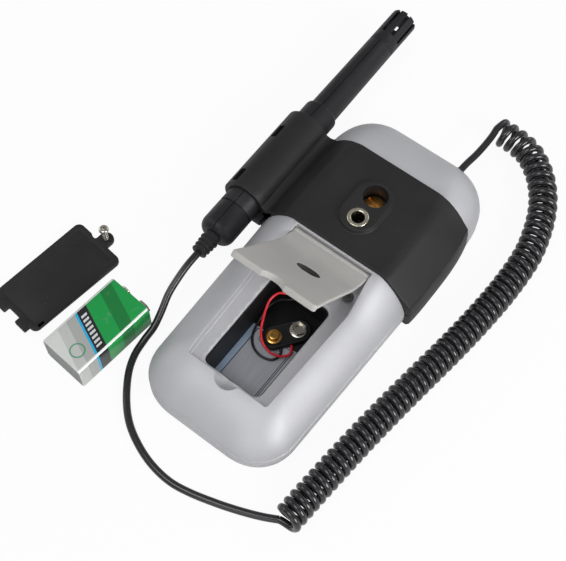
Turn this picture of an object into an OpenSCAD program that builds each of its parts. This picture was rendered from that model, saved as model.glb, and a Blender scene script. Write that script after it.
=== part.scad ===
// Handheld digital thermo-hygrometer with a probe on a curly cord, lying face down on a table.
// Millimetres. X runs across the meter, Y along it towards the cord end, Z up from the table.
// The origin is on the front face, on the centre line.

/* [Meter body] */
// Width of the body at the middle of its length
body_w = 86; // [80:1:92]
// Sideways taper of each long side, in degrees
body_taper = 1.5; // [0:0.25:2.5]
// Where the battery end of the body lies, behind the origin
body_low = 83.5; // [78:0.5:88]
// Where the cord end of the body lies, ahead of the origin
body_high = 111.5; // [108:0.5:116]
// Height of the joint between the front and rear covers
parting_z = 10; // [9:0.5:12]
// Height of the back at the battery end
rim_z = 27.5; // [27:0.25:29]
// Height of the back under the probe holder
back_z = 31.5; // [31:0.25:33]
// Wall of the front and rear covers
wall = 2; // [1.6:0.1:2.4]
// Rounding of the front face's edge
edge_r = 4; // [2:0.5:5]

/* [Stand and its recess] */
// How far the recess lies in from the body's side at its battery end
recess_low_in = 19.8; // [19:0.2:21]
// How far the recess lies in from the body's side at its widest
recess_wide_in = 17.5; // [17:0.1:18.5]
// How far the recess lies in from the body's side at the hinge
recess_hinge_in = 20.1; // [19:0.1:20.5]
// Where the battery end of the recess lies
recess_low = 59.8; // [59:0.2:61]
// Depth of the recess below the back
recess_depth = 5.1; // [4.5:0.1:5.5]
// Distance from the origin to the stand's hinge
hinge_y = 22.6; // [21:0.2:24]
// Height of the stand's hinge
hinge_z = 28.6; // [28:0.1:29]
// Radius of the stand's hinge pins
hinge_pin_r = 1.2; // [1:0.1:1.4]
// Length of the stand from the hinge to its bend
stand_knee = 14.5; // [12:0.5:17]
// Length of the stand from its bend to its foot
stand_len = 51.3; // [45:0.5:54]
// Angle at which the stand is propped open, in degrees
stand_open = 47.1; // [30:0.1:60]
// Thickness of the stand's plate
stand_t = 2.2; // [1.8:0.1:2.4]
// Thickness of the lip along the stand's foot
stand_lip = 3.2; // [2.6:0.1:3.6]

/* [Battery compartment] */
// Half-width of the opening at the battery end
opening_w = 16.8; // [16:0.1:17.4]
// Length of the opening without its screw seat
opening_len = 58; // [56:0.5:59]
// Where the battery end of the opening lies
opening_low = 57.8; // [57.4:0.1:58.4]
// Taper of the opening's sides, in degrees
opening_taper = 0.5; // [0:0.1:1]
// Height of the compartment's floor plate
floor_z = 3.2; // [3:0.1:4]
// Wall of the battery box
box_wall = 1.2; // [1:0.1:1.6]
// Thickness of the battery cover
cover_t = 2.5; // [2:0.1:3]
// Radius of the battery cover's screw lug
lug_r = 4; // [3.5:0.1:4.5]

/* [Battery] */
// Length of the battery's can
battery_len = 46.4; // [44:0.1:48]
// Width of the battery
battery_w = 26.5; // [25:0.1:27.5]
// Thickness of the battery
battery_t = 17.5; // [16.5:0.1:18]
// Pitch of the two snap terminals
snap_pitch = 12.7; // [12.5:0.1:13]

/* [Probe holder] */
// How far the holder band stands out from the body's side
band_out = 4.8; // [4:0.1:6]
// Height of the holder band's back
band_z = 33; // [32.8:0.1:34.5]
// Where the band starts
band_low = 26; // [25.5:0.5:28]
// Where the band ends
band_high = 82.2; // [78:0.2:84]
// Outer radius of the sleeve that holds the probe
sleeve_r = 12.65; // [12.2:0.05:13.5]
// Height of the raised pad above the band
pad_rise = 2; // [1.4:0.1:2.6]
// Outer radius of the tripod insert
insert_r = 5.45; // [5:0.05:6]
// Radius of the tripod insert's thread, a quarter-inch thread
thread_r = 3.175; // [3.1:0.005:3.25]
// Distance from the origin to the tripod insert
insert_y = 44.6; // [43:0.2:46]
// Distance from the tripod insert to the lock screw's bore
bore_pitch = 15.2; // [14:0.2:16]
// Radius of the lock screw's bore
bore_r = 6.5; // [6:0.1:7]

/* [Probe] */
// Sideways distance from the body's side to the probe's axis
probe_out = 15.6; // [15:0.1:17]
// Height of the probe's axis
probe_z = 17; // [16:0.5:18]
// Turn of the probe and its sleeve away from the meter's side, in degrees
probe_turn = 0.8; // [0:0.1:1]
// Radius of the probe's handle
handle_r = 9.65; // [9:0.05:10]
// Radial clearance between the handle and its sleeve
handle_gap = 0.25; // [0.15:0.05:0.4]
// Length of the handle
handle_len = 95; // [88:1:98]
// Radius of the probe's stem at the sensor cap
stem_r = 7.65; // [7:0.05:8]
// How much thicker the stem is at the handle
stem_taper = 0.4; // [0:0.1:0.8]
// Length of the stem from the handle to the sensor cap
stem_len = 55; // [50:1:60]
// Length of the sensor cap
cap_len = 24.4; // [22:0.2:28]
// Wall of the probe's shells
probe_wall = 1.6; // [1.2:0.1:2]

/* [Cord] */
// Diameter of the cord
cord_d = 3.8; // [3.4:0.1:3.8]
// Outer diameter of the curly cord
coil_od = 15.4; // [14.8:0.1:15.8]
// Number of curls in the curly cord
coil_curls = 58; // [44:1:58]
// Diameter of the battery leads
lead_d = 1.3; // [1.1:0.1:1.5]

/* [Display and keys] */
// Width of the display window
window_w = 60; // [54:1:62]
// Length of the display window
window_len = 40; // [36:1:42]
// Length of a key's cap
key_len = 12; // [10:0.5:13]
// Width of a key's cap
key_w = 6; // [5:0.5:6.5]
// Travel of a key
key_travel = 0.8; // [0.5:0.1:1]

/* [Hidden] */
$fn = 48;

silver = [0.70, 0.70, 0.72];
charcoal = [0.16, 0.16, 0.17];
black = [0.09, 0.09, 0.10];
steel = [0.78, 0.77, 0.74];
brass = [0.85, 0.62, 0.30];
grey = [0.66, 0.65, 0.63];
eps = 0.01;
// Gap between pieces that are fitted together
fit = 0.15;
// Gap between a shaft and its hole
run = 0.06;
// Seam between two seated pieces
seam = 0.05;

// Run and roundness of the rear cover's flanks, battery end and cord end
flank_run = 17.4;
flank_n = 1.42;
low_run = 24.5;
low_n = 1.7;
high_run = 26;
high_n = 2;
// Corner radii at the parting line and at the back
low_rx = 25;
low_ry = 24;
high_rx = 28;
high_ry = 30;
rim_r = 12;
corner_n = 2.25;
corner_steps = 6;
side_steps = 14;
shell_levels = 8;
// Stretch over which the back rises from the rim to the holder band
ramp_start = 0;
ramp_end = 24;

function mix(a, b, t) = a + (b - a) * t;
function smooth(t) = t <= 0 ? 0 : t >= 1 ? 1 : t * t * (3 - 2 * t);
function half_w(y) = body_w / 2 + y * tan(body_taper);
function back_top(y) = mix(rim_z, back_z, smooth((y - ramp_start) / (ramp_end - ramp_start)));
recess_low_w = body_w / 2 - recess_low_in;
recess_wide_w = body_w / 2 - recess_wide_in;
recess_hinge_w = body_w / 2 - recess_hinge_in;
band_w = body_w / 2 + band_out;
probe_x = body_w / 2 + probe_out;
// Superellipse quarter: how far a curve that runs in by a has come at height share h
function run_in(h, a, n) = a * (1 - pow(max(0, 1 - pow(h, n)), 1 / n));

// Right half of the body's outline at height share h, drawn in by g all round, as plan points
function outline(h, g) =
    let (ix = run_in(h, flank_run, flank_n), share = ix / flank_run,
        y0 = -body_low + g + run_in(h, low_run, low_n),
        y1 = body_high - g - run_in(h, high_run, high_n),
        rx0 = mix(low_rx, rim_r, share) - g, ry0 = mix(low_ry, rim_r, share) - g,
        rx1 = mix(high_rx, rim_r, share) - g, ry1 = mix(high_ry, rim_r, share) - g,
        yc0 = y0 + ry0, yc1 = y1 - ry1,
        xc0 = half_w(yc0) - ix - g - rx0, xc1 = half_w(yc1) - ix - g - rx1)
    concat(
        [for (i = [0:corner_steps]) let (t = 90 * i / corner_steps)
            [xc0 + rx0 * pow(sin(t), 2 / corner_n), yc0 - ry0 * pow(cos(t), 2 / corner_n)]],
        [for (j = [1:side_steps - 1]) let (y = mix(yc0, yc1, j / side_steps))
            [half_w(y) - ix - g, y]],
        [for (i = [0:corner_steps]) let (t = 90 * i / corner_steps)
            [xc1 + rx1 * pow(cos(t), 2 / corner_n), yc1 + ry1 * pow(sin(t), 2 / corner_n)]]);

// Levels from the parting line to the back, drawn in by g and lowered by g at the top
function rear_rings(g) = [for (k = [0:shell_levels])
    let (h = pow(sin(90 * k / shell_levels), 1.2))
    [for (p = outline(h, g)) [p[0], p[1], mix(parting_z, back_top(p[1]) - g, h)]]];

// Levels from the front face to the parting line, drawn in by g all round
function front_rings(g) = concat(
    [for (k = [0:3]) let (t = 30 * k, a = (edge_r - g) * (1 - sin(t)))
        [for (p = outline(0, g + a)) [p[0], p[1], g + (edge_r - g) * (1 - cos(t))]]],
    [[for (p = outline(0, g)) [p[0], p[1], parting_z]]]);

// Closed solid through a stack of half outlines, each mirrored in the centre line
module ladder_loft(rings) {
    n = len(rings[0]);
    m = len(rings);
    w = 2 * n;
    points = [for (r = rings) each concat(r, [for (i = [n - 1:-1:0]) [-r[i][0], r[i][1], r[i][2]]])];
    sides = [for (k = [0:m - 2], i = [0:w - 1])
        let (a = k * w + i, b = k * w + (i + 1) % w)
        each [[a, a + w, b + w], [a, b + w, b]]];
    top = (m - 1) * w;
    bottom_cap = [for (i = [0:n - 2]) [i, i + 1, w - 2 - i, w - 1 - i]];
    top_cap = [for (i = [0:n - 2]) [top + w - 1 - i, top + w - 2 - i, top + i + 1, top + i]];
    polyhedron(points, concat(bottom_cap, sides, top_cap));
}

// The outer solid of the rear cover, and the space inside it
module rear_solid(g) {
    ladder_loft(rear_rings(g));
}
module rear_inside() {
    ladder_loft(concat(
        [[for (p = outline(0, wall)) [p[0], p[1], parting_z - 1]]],
        rear_rings(wall)));
}

hinge_room = 2.4;
// Right half of the recess in plan, and its mirror image
module recess_plan(grow) {
    right = [[recess_low_w, -recess_low], [recess_wide_w, 0], [recess_hinge_w, hinge_y - 2],
        [recess_hinge_w, hinge_y + hinge_room]];
    offset(delta = grow) polygon(concat(right, [for (i = [3:-1:0]) [-right[i][0], right[i][1]]]));
}
recess_floor = rim_z - recess_depth;
// Floor of the recess along the meter: flat, then up a ramp that follows the closed stand
module recess_side(drop) {
    polygon([[-recess_low - 5, recess_floor - drop], [hinge_y - stand_knee * 0.85, recess_floor - drop],
        [hinge_y + 1, hinge_z - 3 - drop], [hinge_y + 6, hinge_z - 3 - drop],
        [hinge_y + 6, back_z + 5], [-recess_low - 5, back_z + 5]]);
}
module along_x(length) {
    rotate([90, 0, 90]) translate([0, 0, -length / 2]) linear_extrude(length) children();
}
module recess_cut() {
    intersection() {
        translate([0, 0, recess_floor - 10]) linear_extrude(30) recess_plan(0);
        along_x(100) recess_side(0);
    }
}
module recess_pan() {
    intersection() {
        translate([0, 0, recess_floor - 10]) linear_extrude(30) recess_plan(wall);
        along_x(100) recess_side(wall);
        rear_solid(0);
    }
}

opening_r = 4;
seat_gap = 0.8;
lug_x = 1.2;
lug_reach = 4.5;
opening_high = opening_len - opening_low;
function opening_half(y) = opening_w + (y + opening_low) * tan(opening_taper);
// Plan of the compartment's opening, drawn in by g
module opening_plan(g) {
    w0 = opening_half(-opening_low) - g;
    w1 = opening_half(opening_high) - g;
    r = opening_r - g;
    hull() for (side = [-1, 1]) {
        translate([side * (w0 - r), -opening_low + g + r]) circle(r, $fn = 32);
        translate([side * (w1 - r), opening_high - g - r]) circle(r, $fn = 32);
    }
}
// Plan of the notch that takes the cover's screw lug
module lug_plan(g) {
    translate([lug_x, opening_high + lug_reach]) circle(lug_r + g, $fn = 32);
    translate([lug_x - lug_r - g, opening_high - 2]) square([2 * (lug_r + g), lug_reach + 2]);
}

scoop_r = 7.2;
scoop_y = -58;
module scoop(grow) {
    translate([0, scoop_y, rim_z + 1.5]) sphere(scoop_r + grow);
}

// Screws that hold the covers together, two under the stand and two under the band
screw_r = 1.3;
screw_head_r = 2.6;
screw_head_t = 1.8;
boss_r = 3.4;
case_screw_in = 3.9;
case_screw_places = [[recess_hinge_w - case_screw_in, hinge_y - 11.1, recess_floor + 0.6],
    [body_w / 2 - 7, band_high - 11.2, 22]];
module at_case_screws() {
    for (place = case_screw_places, side = [-1, 1])
        translate([side * place[0], place[1], 0]) let ($seat = place[2]) children();
}

// Room round the screws' bosses, in plan
module case_boss_plan() {
    for (place = case_screw_places, side = [-1, 1]) translate([side * place[0], place[1]]) circle(boss_r + 0.4);
}

module rear_cover() {
    color(silver) difference() {
        union() {
            difference() {
                rear_solid(0);
                rear_inside();
            }
            recess_pan();
            intersection() {
                rear_solid(0);
                union() {
                    scoop(wall);
                    at_case_screws() translate([0, 0, parting_z + seam]) cylinder(r = boss_r, h = $seat - parting_z);
                    translate([0, lock_y, lock_seat - 4]) cylinder(r = bore_r + wall, h = back_z);
                    translate([0, insert_y, insert_bottom - wall]) cylinder(r = insert_r + wall, h = back_z);
                    translate([lug_x, opening_high + lug_reach, recess_floor - 9]) cylinder(r = boss_r, h = 9);
                }
            }
        }
        recess_cut();
        scoop(0);
        translate([0, 0, recess_floor - wall - 1]) linear_extrude(wall + 2) {
            opening_plan(0);
        }
        translate([0, 0, recess_floor - cover_t / 2]) linear_extrude(wall + 2) lug_plan(fit);
        translate([lug_x, opening_high + lug_reach, recess_floor - 8]) cylinder(r = cover_screw_r - 0.2, h = 10);
        for (side = [-1, 1]) translate([side * (recess_hinge_w - 1), hinge_y, hinge_z])
            rotate([0, side * 90, 0]) cylinder(r = hinge_pin_r + run, h = pin_len + 1 + fit);
        at_case_screws() {
            translate([0, 0, parting_z - 1]) cylinder(r = screw_r + run, h = 40);
            translate([0, 0, $seat - screw_head_t]) cylinder(r = screw_head_r + fit, h = 40);
        }
        translate([0, lock_y, lock_seat]) cylinder(r = bore_r, h = 20);
        translate([0, lock_y, lock_seat - 5]) cylinder(r = lock_shaft_r + run, h = 20);
        translate([0, insert_y, insert_bottom]) cylinder(r = insert_r + seam, h = 20);
        translate([cord_x, body_high, cord_z]) rotate([90, 0, 0]) cylinder(r = grommet_r + seam, h = 12, center = true);
    }
}

band_recess = 1.5;
window_y = (band_low + band_high) / 2;
inner_front = 3;
module front_solid(g) {
    ladder_loft(front_rings(g));
}
module band_slab(z0, z1) {
    translate([-body_w, band_low - fit, z0]) cube([2 * body_w, band_high - band_low + 2 * fit, z1 - z0]);
}
module window_plan(g) {
    translate([0, window_y]) square([window_w + 2 * g, window_len + 2 * g], center = true);
}

// The five keys, in two rows below the display
key_rows = [[7, [-9, 9]], [19.2, [-17, 0, 17]]];
key_places = [for (row = key_rows, x = row[1]) [x, row[0]]];
key_flange = 1;
key_low = 0.5;
module key_plan(g) {
    hull() for (side = [-1, 1]) translate([side * (key_len - key_w) / 2, 0]) circle(key_w / 2 + g, $fn = 24);
}

module front_cover() {
    color(silver) difference() {
        union() {
            difference() {
                front_solid(0);
                ladder_loft(concat(front_rings(wall), [[for (p = outline(0, wall)) [p[0], p[1], parting_z + 1]]]));
            }
            intersection() {
                front_solid(0);
                translate([-body_w, band_low - 2, 0]) cube([2 * body_w, band_high - band_low + 4, inner_front]);
            }
            at_case_screws() translate([0, 0, 1]) cylinder(r = boss_r, h = parting_z - 1);
            translate([cord_x - grommet_r - wall, body_high - 7, 1])
                cube([2 * (grommet_r + wall), 2, cord_z - grommet_neck - 1.2]);
        }
        band_slab(-1, band_recess + seam);
        translate([0, 0, -1]) linear_extrude(inner_front + 2) window_plan(fit);
        for (place = key_places) translate([place[0], place[1], -1]) linear_extrude(wall + 2) key_plan(fit);
        at_case_screws() translate([0, 0, wall]) cylinder(r = screw_r + run, h = 20);
        translate([cord_x, body_high, cord_z]) rotate([90, 0, 0]) cylinder(r = grommet_r + seam, h = 12, center = true);
    }
}

// Half-width of the band, a barrel that closes onto the body at its cord end
band_mid = 48;
band_half_len = 34.5;
function band_half(y) = band_w - 2.9 * pow(abs(y - band_mid) / band_half_len, 3);
band_stations = 10;
band_ridge_z = 17.6;
band_ridge_in = 1.3;
band_slope_in = 16.2;
band_slope_z = band_z - 1.4;
band_skin = 0.6;
// Half-width of the band's sloping flank at height z, never nearer to the body's skin than band_skin
function band_flank(y, z) = max(
    band_half(y) - mix(band_ridge_in, band_slope_in, (z - band_ridge_z) / (band_slope_z - band_ridge_z)),
    half_w(y) - run_in((z - parting_z) / (back_top(y) - parting_z), flank_run, flank_n) + band_skin);
// Right half of the band's section at y: side, ridge, flank and back, from z0 up
function band_section(y, z0) = let (w = band_half(y)) [
    [w - (z0 < parting_z ? 1.5 : 0), y, z0], [w, y, max(z0, 3)], [w - 0.2, y, parting_z],
    [w - band_ridge_in, y, band_ridge_z],
    for (z = [21.5, 25.4, 28.6]) [band_flank(y, z), y, z],
    [w - band_slope_in, y, band_slope_z], [w - 20, y, band_z]];
module band_loft(z0, z1_index) {
    rings = [for (s = [0:band_stations]) let (y = mix(band_low, band_high, s / band_stations))
        [for (i = [z1_index[0]:z1_index[1]]) band_section(y, z0)[i]]];
    n = len(rings[0]);
    w = 2 * n;
    points = [for (r = rings) each concat(r, [for (i = [n - 1:-1:0]) [-r[i][0], r[i][1], r[i][2]]])];
    last = band_stations * w;
    polyhedron(points, concat(
        [[for (i = [w - 1:-1:0]) i]],
        [for (k = [0:band_stations - 1], i = [0:w - 1]) let (a = k * w + i, b = k * w + (i + 1) % w)
            each [[a, b, b + w], [a, b + w, a + w]]],
        [[for (i = [0:w - 1]) last + i]]));
}

lock_y = insert_y + bore_pitch;
lock_seat = band_z - 9.5;
lock_shaft_r = 2.4;
insert_bottom = band_z - 7;
pad_top = band_z + pad_rise;
pad_w = 19.5;
pad_slope = 1;
module pad() {
    hull() {
        for (end = [0, 1]) {
            translate([-0.6, mix(insert_y + 2.2, lock_y - 1.6, end), band_z - 1]) cylinder(r = pad_w / 2 + pad_slope, h = 1, $fn = 32);
            translate([-0.6, mix(insert_y + 2.2, lock_y - 1.6, end), band_z - 1]) cylinder(r = pad_w / 2, h = pad_rise + 1, $fn = 32);
        }
    }
}
sleeve_bore = handle_r + handle_gap;
// The probe's axis passes its nominal place here, and is turned about it
probe_pivot = 118;
module along_probe(y) {
    translate([-probe_x, probe_pivot, probe_z]) rotate([0, 0, probe_turn]) translate([0, y - probe_pivot, 0])
        rotate([-90, 0, 0]) children();
}
window_gap = 4.2;
window_turn = 40;
sleeve_window = 8.5;
// A hollow of this radius joins the sleeve to the band's slope
web_r = 4;
web_at = [-43.6, 25.6];
module web() {
    translate([0, band_high, 0]) rotate([90, 0, 0]) linear_extrude(band_high - band_low) difference() {
        polygon([[-probe_x, probe_z], web_at, [web_at[0] + web_r, web_at[1] - 3], [web_at[0] + web_r, parting_z + seam],
            [-probe_x + sleeve_r - wall, parting_z + seam]]);
        translate(web_at) circle(r = web_r, $fn = 48);
    }
}
tab_size = [6, 5, 5];
module holster_band() {
    color(charcoal) difference() {
        union() {
            difference() {
                union() {
                    band_loft(parting_z + seam, [2, 8]);
                    pad();
                    along_probe(band_low) cylinder(r = sleeve_r, h = band_high - band_low);
                    translate([-probe_x + 4, band_low, parting_z + seam]) cube([8, band_high - band_low, 10]);
                    web();
                    translate([-band_w - 2, band_low - 4, parting_z + seam]) cube(tab_size);
                }
                rear_solid(-fit);
                translate([-body_w / 2, 0, parting_z - 5]) cube([body_w, body_high, 5 + seam]);
            }
        }
        along_probe(band_low - 5) cylinder(r = sleeve_bore, h = band_high - band_low + 6);
        for (y = [band_low + 2.5, band_high - 20.5]) along_probe(y) rotate([0, 0, -90 - window_turn])
            translate([sleeve_bore - 1, -window_gap / 2, 0]) cube([6, window_gap, sleeve_window]);
        translate([0, insert_y, band_z - 8]) cylinder(r = insert_r + seam, h = 20);
        translate([0, lock_y, band_z - 8]) cylinder(r = bore_r, h = 20);
    }
}

module front_band() {
    color(charcoal) difference() {
        band_loft(0.3, [0, 2]);
        difference() {
            front_solid(-fit);
            band_slab(-1, band_recess);
        }
        translate([-body_w / 2, 0, parting_z - seam]) cube([body_w, body_high, 5]);
        translate([0, 0, -1]) linear_extrude(10) window_plan(-1.5);
        along_probe(0) cylinder(r = sleeve_r + fit, h = body_high);
    }
}

insert_top = pad_top + 0.2;
module tripod_insert() {
    color(steel) translate([0, insert_y, insert_bottom + seam]) difference() {
        cylinder(r = insert_r, h = insert_top - insert_bottom - seam);
        translate([0, 0, 1]) cylinder(r = thread_r, h = 20);
    }
}
module lock_screw() {
    head_r = bore_r - 0.9;
    color(brass) translate([0, lock_y, lock_seat + seam]) difference() {
        union() {
            cylinder(r = head_r, h = 2.6);
            translate([0, 0, -5]) cylinder(r = lock_shaft_r, h = 6);
        }
        translate([0, 0, 2.6]) rotate([0, 0, -25]) cube([2 * bore_r, 1.2, 2], center = true);
    }
}

// The stand, drawn closed and then turned up about its hinge
stand_hinge_w = recess_hinge_w - 0.4;
stand_foot_w = 23.4;
pin_len = 1.6;
stand_rest = 0.3;
stand_flat_z = recess_floor + stand_rest + stand_lip - stand_t / 2;
knee_drop = hinge_z - stand_flat_z;
knee_y = hinge_y - sqrt(stand_knee * stand_knee - knee_drop * knee_drop);
foot_y = knee_y - stand_len;
slot_x = 2.5;
slot_y = knee_y - 17;
slot_half = 2.4;
slot_r = 4.2;
bend_steps = 6;
// Middle line of the plate, with a smooth bend at the knee
function stand_line(u) = let (b = 7, s = u * (stand_knee + stand_len))
    s < stand_knee - b ? [hinge_y - s * (hinge_y - knee_y) / stand_knee, hinge_z - s * knee_drop / stand_knee]
    : s > stand_knee + b ? [knee_y - (s - stand_knee), stand_flat_z]
    : let (t = (s - stand_knee + b) / (2 * b),
        p = [hinge_y - (stand_knee - b) * (hinge_y - knee_y) / stand_knee, hinge_z - (stand_knee - b) * knee_drop / stand_knee])
        (1 - t) * (1 - t) * p + 2 * t * (1 - t) * [knee_y, stand_flat_z] + t * t * [knee_y - b, stand_flat_z];
stand_shares = concat([0], [for (i = [0:bend_steps]) mix(0.11, 0.33, i / bend_steps)], [1]);
module stand_closed() {
    line = [for (u = stand_shares) stand_line(u)];
    n = len(line);
    edge = [0, stand_t / 2];
    intersection() {
        union() {
            along_x(60) polygon(concat([for (p = line) p + edge], [for (i = [n - 1:-1:0]) line[i] - edge]));
            along_x(60) translate([foot_y, stand_flat_z + stand_t / 2 - stand_lip / 2]) square([stand_lip, stand_lip], center = true);
        }
        translate([0, 0, -10]) linear_extrude(80) polygon([[-stand_foot_w, foot_y - 2], [stand_foot_w, foot_y - 2],
            [mix(stand_foot_w, stand_hinge_w, 0.4), foot_y + 18], [stand_hinge_w, hinge_y + 2],
            [-stand_hinge_w, hinge_y + 2], [-mix(stand_foot_w, stand_hinge_w, 0.4), foot_y + 18]]);
    }
}
module stand() {
    color(grey) translate([0, hinge_y, hinge_z]) rotate([-stand_open, 0, 0]) translate([0, -hinge_y, -hinge_z])
    difference() {
        union() {
            stand_closed();
            translate([0, hinge_y, hinge_z]) rotate([0, 90, 0]) cylinder(r = hinge_pin_r + 0.7, h = 2 * stand_hinge_w, center = true);
            translate([0, hinge_y, hinge_z]) rotate([0, 90, 0]) cylinder(r = hinge_pin_r, h = 2 * (recess_hinge_w + pin_len - 1), center = true);
        }
        translate([slot_x, slot_y, 0]) for (side = [-1, 1]) translate([side * slot_half, 0, 0]) cylinder(r = slot_r, h = 60);
        translate([slot_x - slot_half, slot_y - slot_r, 0]) cube([2 * slot_half, 2 * slot_r, 60]);
        translate([0, foot_y - 3.5, 0]) cylinder(r = 6.5, h = 60);
    }
}

box_low_w = 14.7;
box_top = recess_floor - wall - seam;
box_low_gap = 1.8;
box_half = (opening_len - box_low_gap) / 2;
box_mid = opening_high - box_half;
// The inside of the battery box: a tapered tub, drawn out by g
module box_space(g) {
    hull() {
        translate([0, 0, floor_z]) linear_extrude(eps) translate([0, box_mid])
            square([2 * (box_low_w + g), 2 * (box_half + g)], center = true);
        translate([0, 0, box_top]) linear_extrude(eps) opening_plan(seat_gap - g);
    }
}
lead_exit = [-6, opening_high, 15.5];
module battery_box() {
    color(black) difference() {
        box_space(box_wall);
        box_space(0);
        translate([0, 0, floor_z - 1]) linear_extrude(1.2) translate([0, box_mid])
            square([2 * box_low_w, 2 * box_half], center = true);
        translate([0, 0, box_top]) cube([60, 150, 0.2], center = true);
        for (x = [lead_exit[0], lead_exit[0] + 4]) translate([x, opening_high + 3, lead_exit[2]])
            rotate([90, 0, 0]) cylinder(r = lead_d / 2 + run, h = 8);
    }
}
module floor_plate() {
    color(grey) translate([0, box_mid, wall + seam]) linear_extrude(floor_z - wall - 2 * seam)
        square(2 * [box_low_w + box_wall - fit, box_half + box_wall - fit], center = true);
}

// The snap connector, loose on the floor plate: its stud and socket lie along a slanted line
snap_stud_at = [-1.4, -21.7];
snap_angle = 53.6;
snap_t = 3.4;
snap_r = 6.3;
snap_more = 0.4;
module at_snap() {
    translate([snap_stud_at[0], snap_stud_at[1], floor_z + seam]) rotate([0, 0, snap_angle]) children();
}
module snap_connector() {
    color(black) at_snap() hull() for (x = [-snap_more, snap_pitch + snap_more]) translate([x, 0, 0]) cylinder(r = snap_r, h = snap_t);
}
module snap_stud() {
    color(steel) at_snap() translate([0, 0, snap_t + seam]) {
        cylinder(r = 4, h = 0.4);
        cylinder(r = 2.6, h = 2);
        translate([0, 0, 2]) cylinder(r = 2.85, h = 1);
    }
}
module snap_socket() {
    color(steel) at_snap() translate([snap_pitch, 0, snap_t + seam]) difference() {
        union() {
            cylinder(r = 4.4, h = 0.4);
            cylinder(r = 4, h = 2.8, $fn = 6);
        }
        translate([0, 0, 0.4]) cylinder(r = 2.9, h = 4);
    }
}

// Evenly rounded path through hand-chosen points, as a Catmull-Rom spline
function spline_point(p, i, t) = let (n = len(p) - 1,
        a = p[max(0, i - 1)], b = p[i], c = p[min(n, i + 1)], d = p[min(n, i + 2)])
    0.5 * (2 * b + (c - a) * t + (2 * a - 5 * b + 4 * c - d) * t * t + (3 * b - a - 3 * c + d) * t * t * t);
function spline(p, steps) = concat(
    [for (i = [0:len(p) - 2], s = [0:steps - 1]) spline_point(p, i, s / steps)], [p[len(p) - 1]]);
function unit(v) = v / norm(v);
// Tube of radius r and a given number of sides swept along points, with square ends. Its rings are
// turned by the upward direction, or on a coil by the direction out from the coil's axis
module sweep(points, r, sides, outward = []) {
    n = len(points);
    rings = [for (i = [0:n - 1]) let (
            t = unit(points[min(n - 1, i + 1)] - points[max(0, i - 1)]),
            a = unit(cross(len(outward) > 0 ? outward[i] : [0, 0, 1], t)), b = cross(t, a))
        each [for (k = [0:sides - 1]) let (q = 360 * (k + 0.5) / sides)
            points[i] + r * (cos(q) * a + sin(q) * b)]];
    polyhedron(rings, concat(
        [[for (k = [0:sides - 1]) k]],
        [for (i = [0:n - 2], k = [0:sides - 1]) let (p = i * sides + k, q = i * sides + (k + 1) % sides)
            each [[p, p + sides, q + sides], [p, q + sides, q]]],
        [[for (k = [sides - 1:-1:0]) (n - 1) * sides + k]]));
}

snap_high = floor_z + snap_t / 2 + seam;
red_points = [[-6, -0.5, 15.5], [-8, -2.5, 15.6], [-11.5, -4.5, 15], [-13, -9, 14], [-12, -14, 13.2],
    [-10, -19, 12.4], [-7.5, -24, 11.6], [-3.5, -28.5, 10.6], [2, -30.5, 9.4], [7.5, -29, 8],
    [10.5, -25, 6.6], [9.5, -21.5, 5.4], [7.2, -18.9, 4.9]];
black_points = [[-2, -0.5, 15.5], [-5, -3.5, 14], [-10, -5.5, 11], [-13.2, -10, 7.5], [-13.3, -16, 5.2],
    [-12.5, -22, 4.4], [-10.5, -27.5, 4.1], [-6.5, -31.5, 4], [-1, -33, 4], [4.5, -31.5, 4], [6.5, -27.5, 4.2],
    [4.6, -23.6, 4.7], [3.4, -22, 4.9]];
module red_lead() {
    color([0.85, 0.15, 0.2]) sweep(spline(red_points, 2), lead_d / 2, 8);
}
module black_lead() {
    color(black) sweep(spline(black_points, 2), lead_d / 2, 8);
}

// The battery cover lies beside the meter, tilted up by the screw that stands in its lug
cover_at = [-110.8, -60.3];
cover_turn = -7;
cover_len = 57.6;
cover_w = 31.8;
cover_screw_r = 1.5;
module at_cover() {
    translate([cover_at[0], cover_at[1], 0]) rotate([0, 0, cover_turn]) children();
}
module cover_plan() {
    r = opening_r - 0.5;
    w0 = cover_w / 2;
    w1 = cover_w / 2 + cover_len * tan(opening_taper);
    difference() {
        union() {
            hull() for (side = [-1, 1]) {
                translate([side * (w0 - r), -cover_len / 2 + r]) circle(r, $fn = 32);
                translate([side * (w1 - r), cover_len / 2 - r]) circle(r, $fn = 32);
            }
            translate([lug_x, cover_len / 2 + lug_reach - 1.5]) circle(lug_r, $fn = 32);
            translate([lug_x - lug_r, cover_len / 2 - 2]) square([2 * lug_r, lug_reach + 0.5]);
            for (side = [-1, 1]) translate([side * 8 - 3.9, -cover_len / 2 - 3.4]) square([7.8, 6]);
        }
        translate([lug_x - lug_r - 2, cover_len / 2 + 0.3]) circle(2, $fn = 24);
    }
}
module battery_cover() {
    color(charcoal) at_cover() difference() {
        linear_extrude(cover_t) cover_plan();
        translate([lug_x, cover_len / 2 + lug_reach - 1.5, -1]) cylinder(r = cover_screw_r + run, h = 10);
    }
}
cover_screw_len = 13;
module cover_screw() {
    color(steel) at_cover() translate([lug_x, cover_len / 2 + lug_reach - 1.5, 0]) difference() {
        union() {
            cylinder(r1 = 0.4, r2 = cover_screw_r, h = 2);
            translate([0, 0, 2]) cylinder(r = cover_screw_r, h = cover_screw_len - 4);
            translate([0, 0, cover_screw_len - 2.4]) cylinder(r1 = 1.6, r2 = 2.65, h = 0.9);
            translate([0, 0, cover_screw_len - 1.5]) cylinder(r1 = 2.65, r2 = 1.9, h = 1.5);
        }
        for (a = [0, 90]) rotate([0, 0, a + 20]) translate([-1.5, -0.35, cover_screw_len - 1.2]) cube([3, 0.7, 2]);
    }
}

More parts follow.
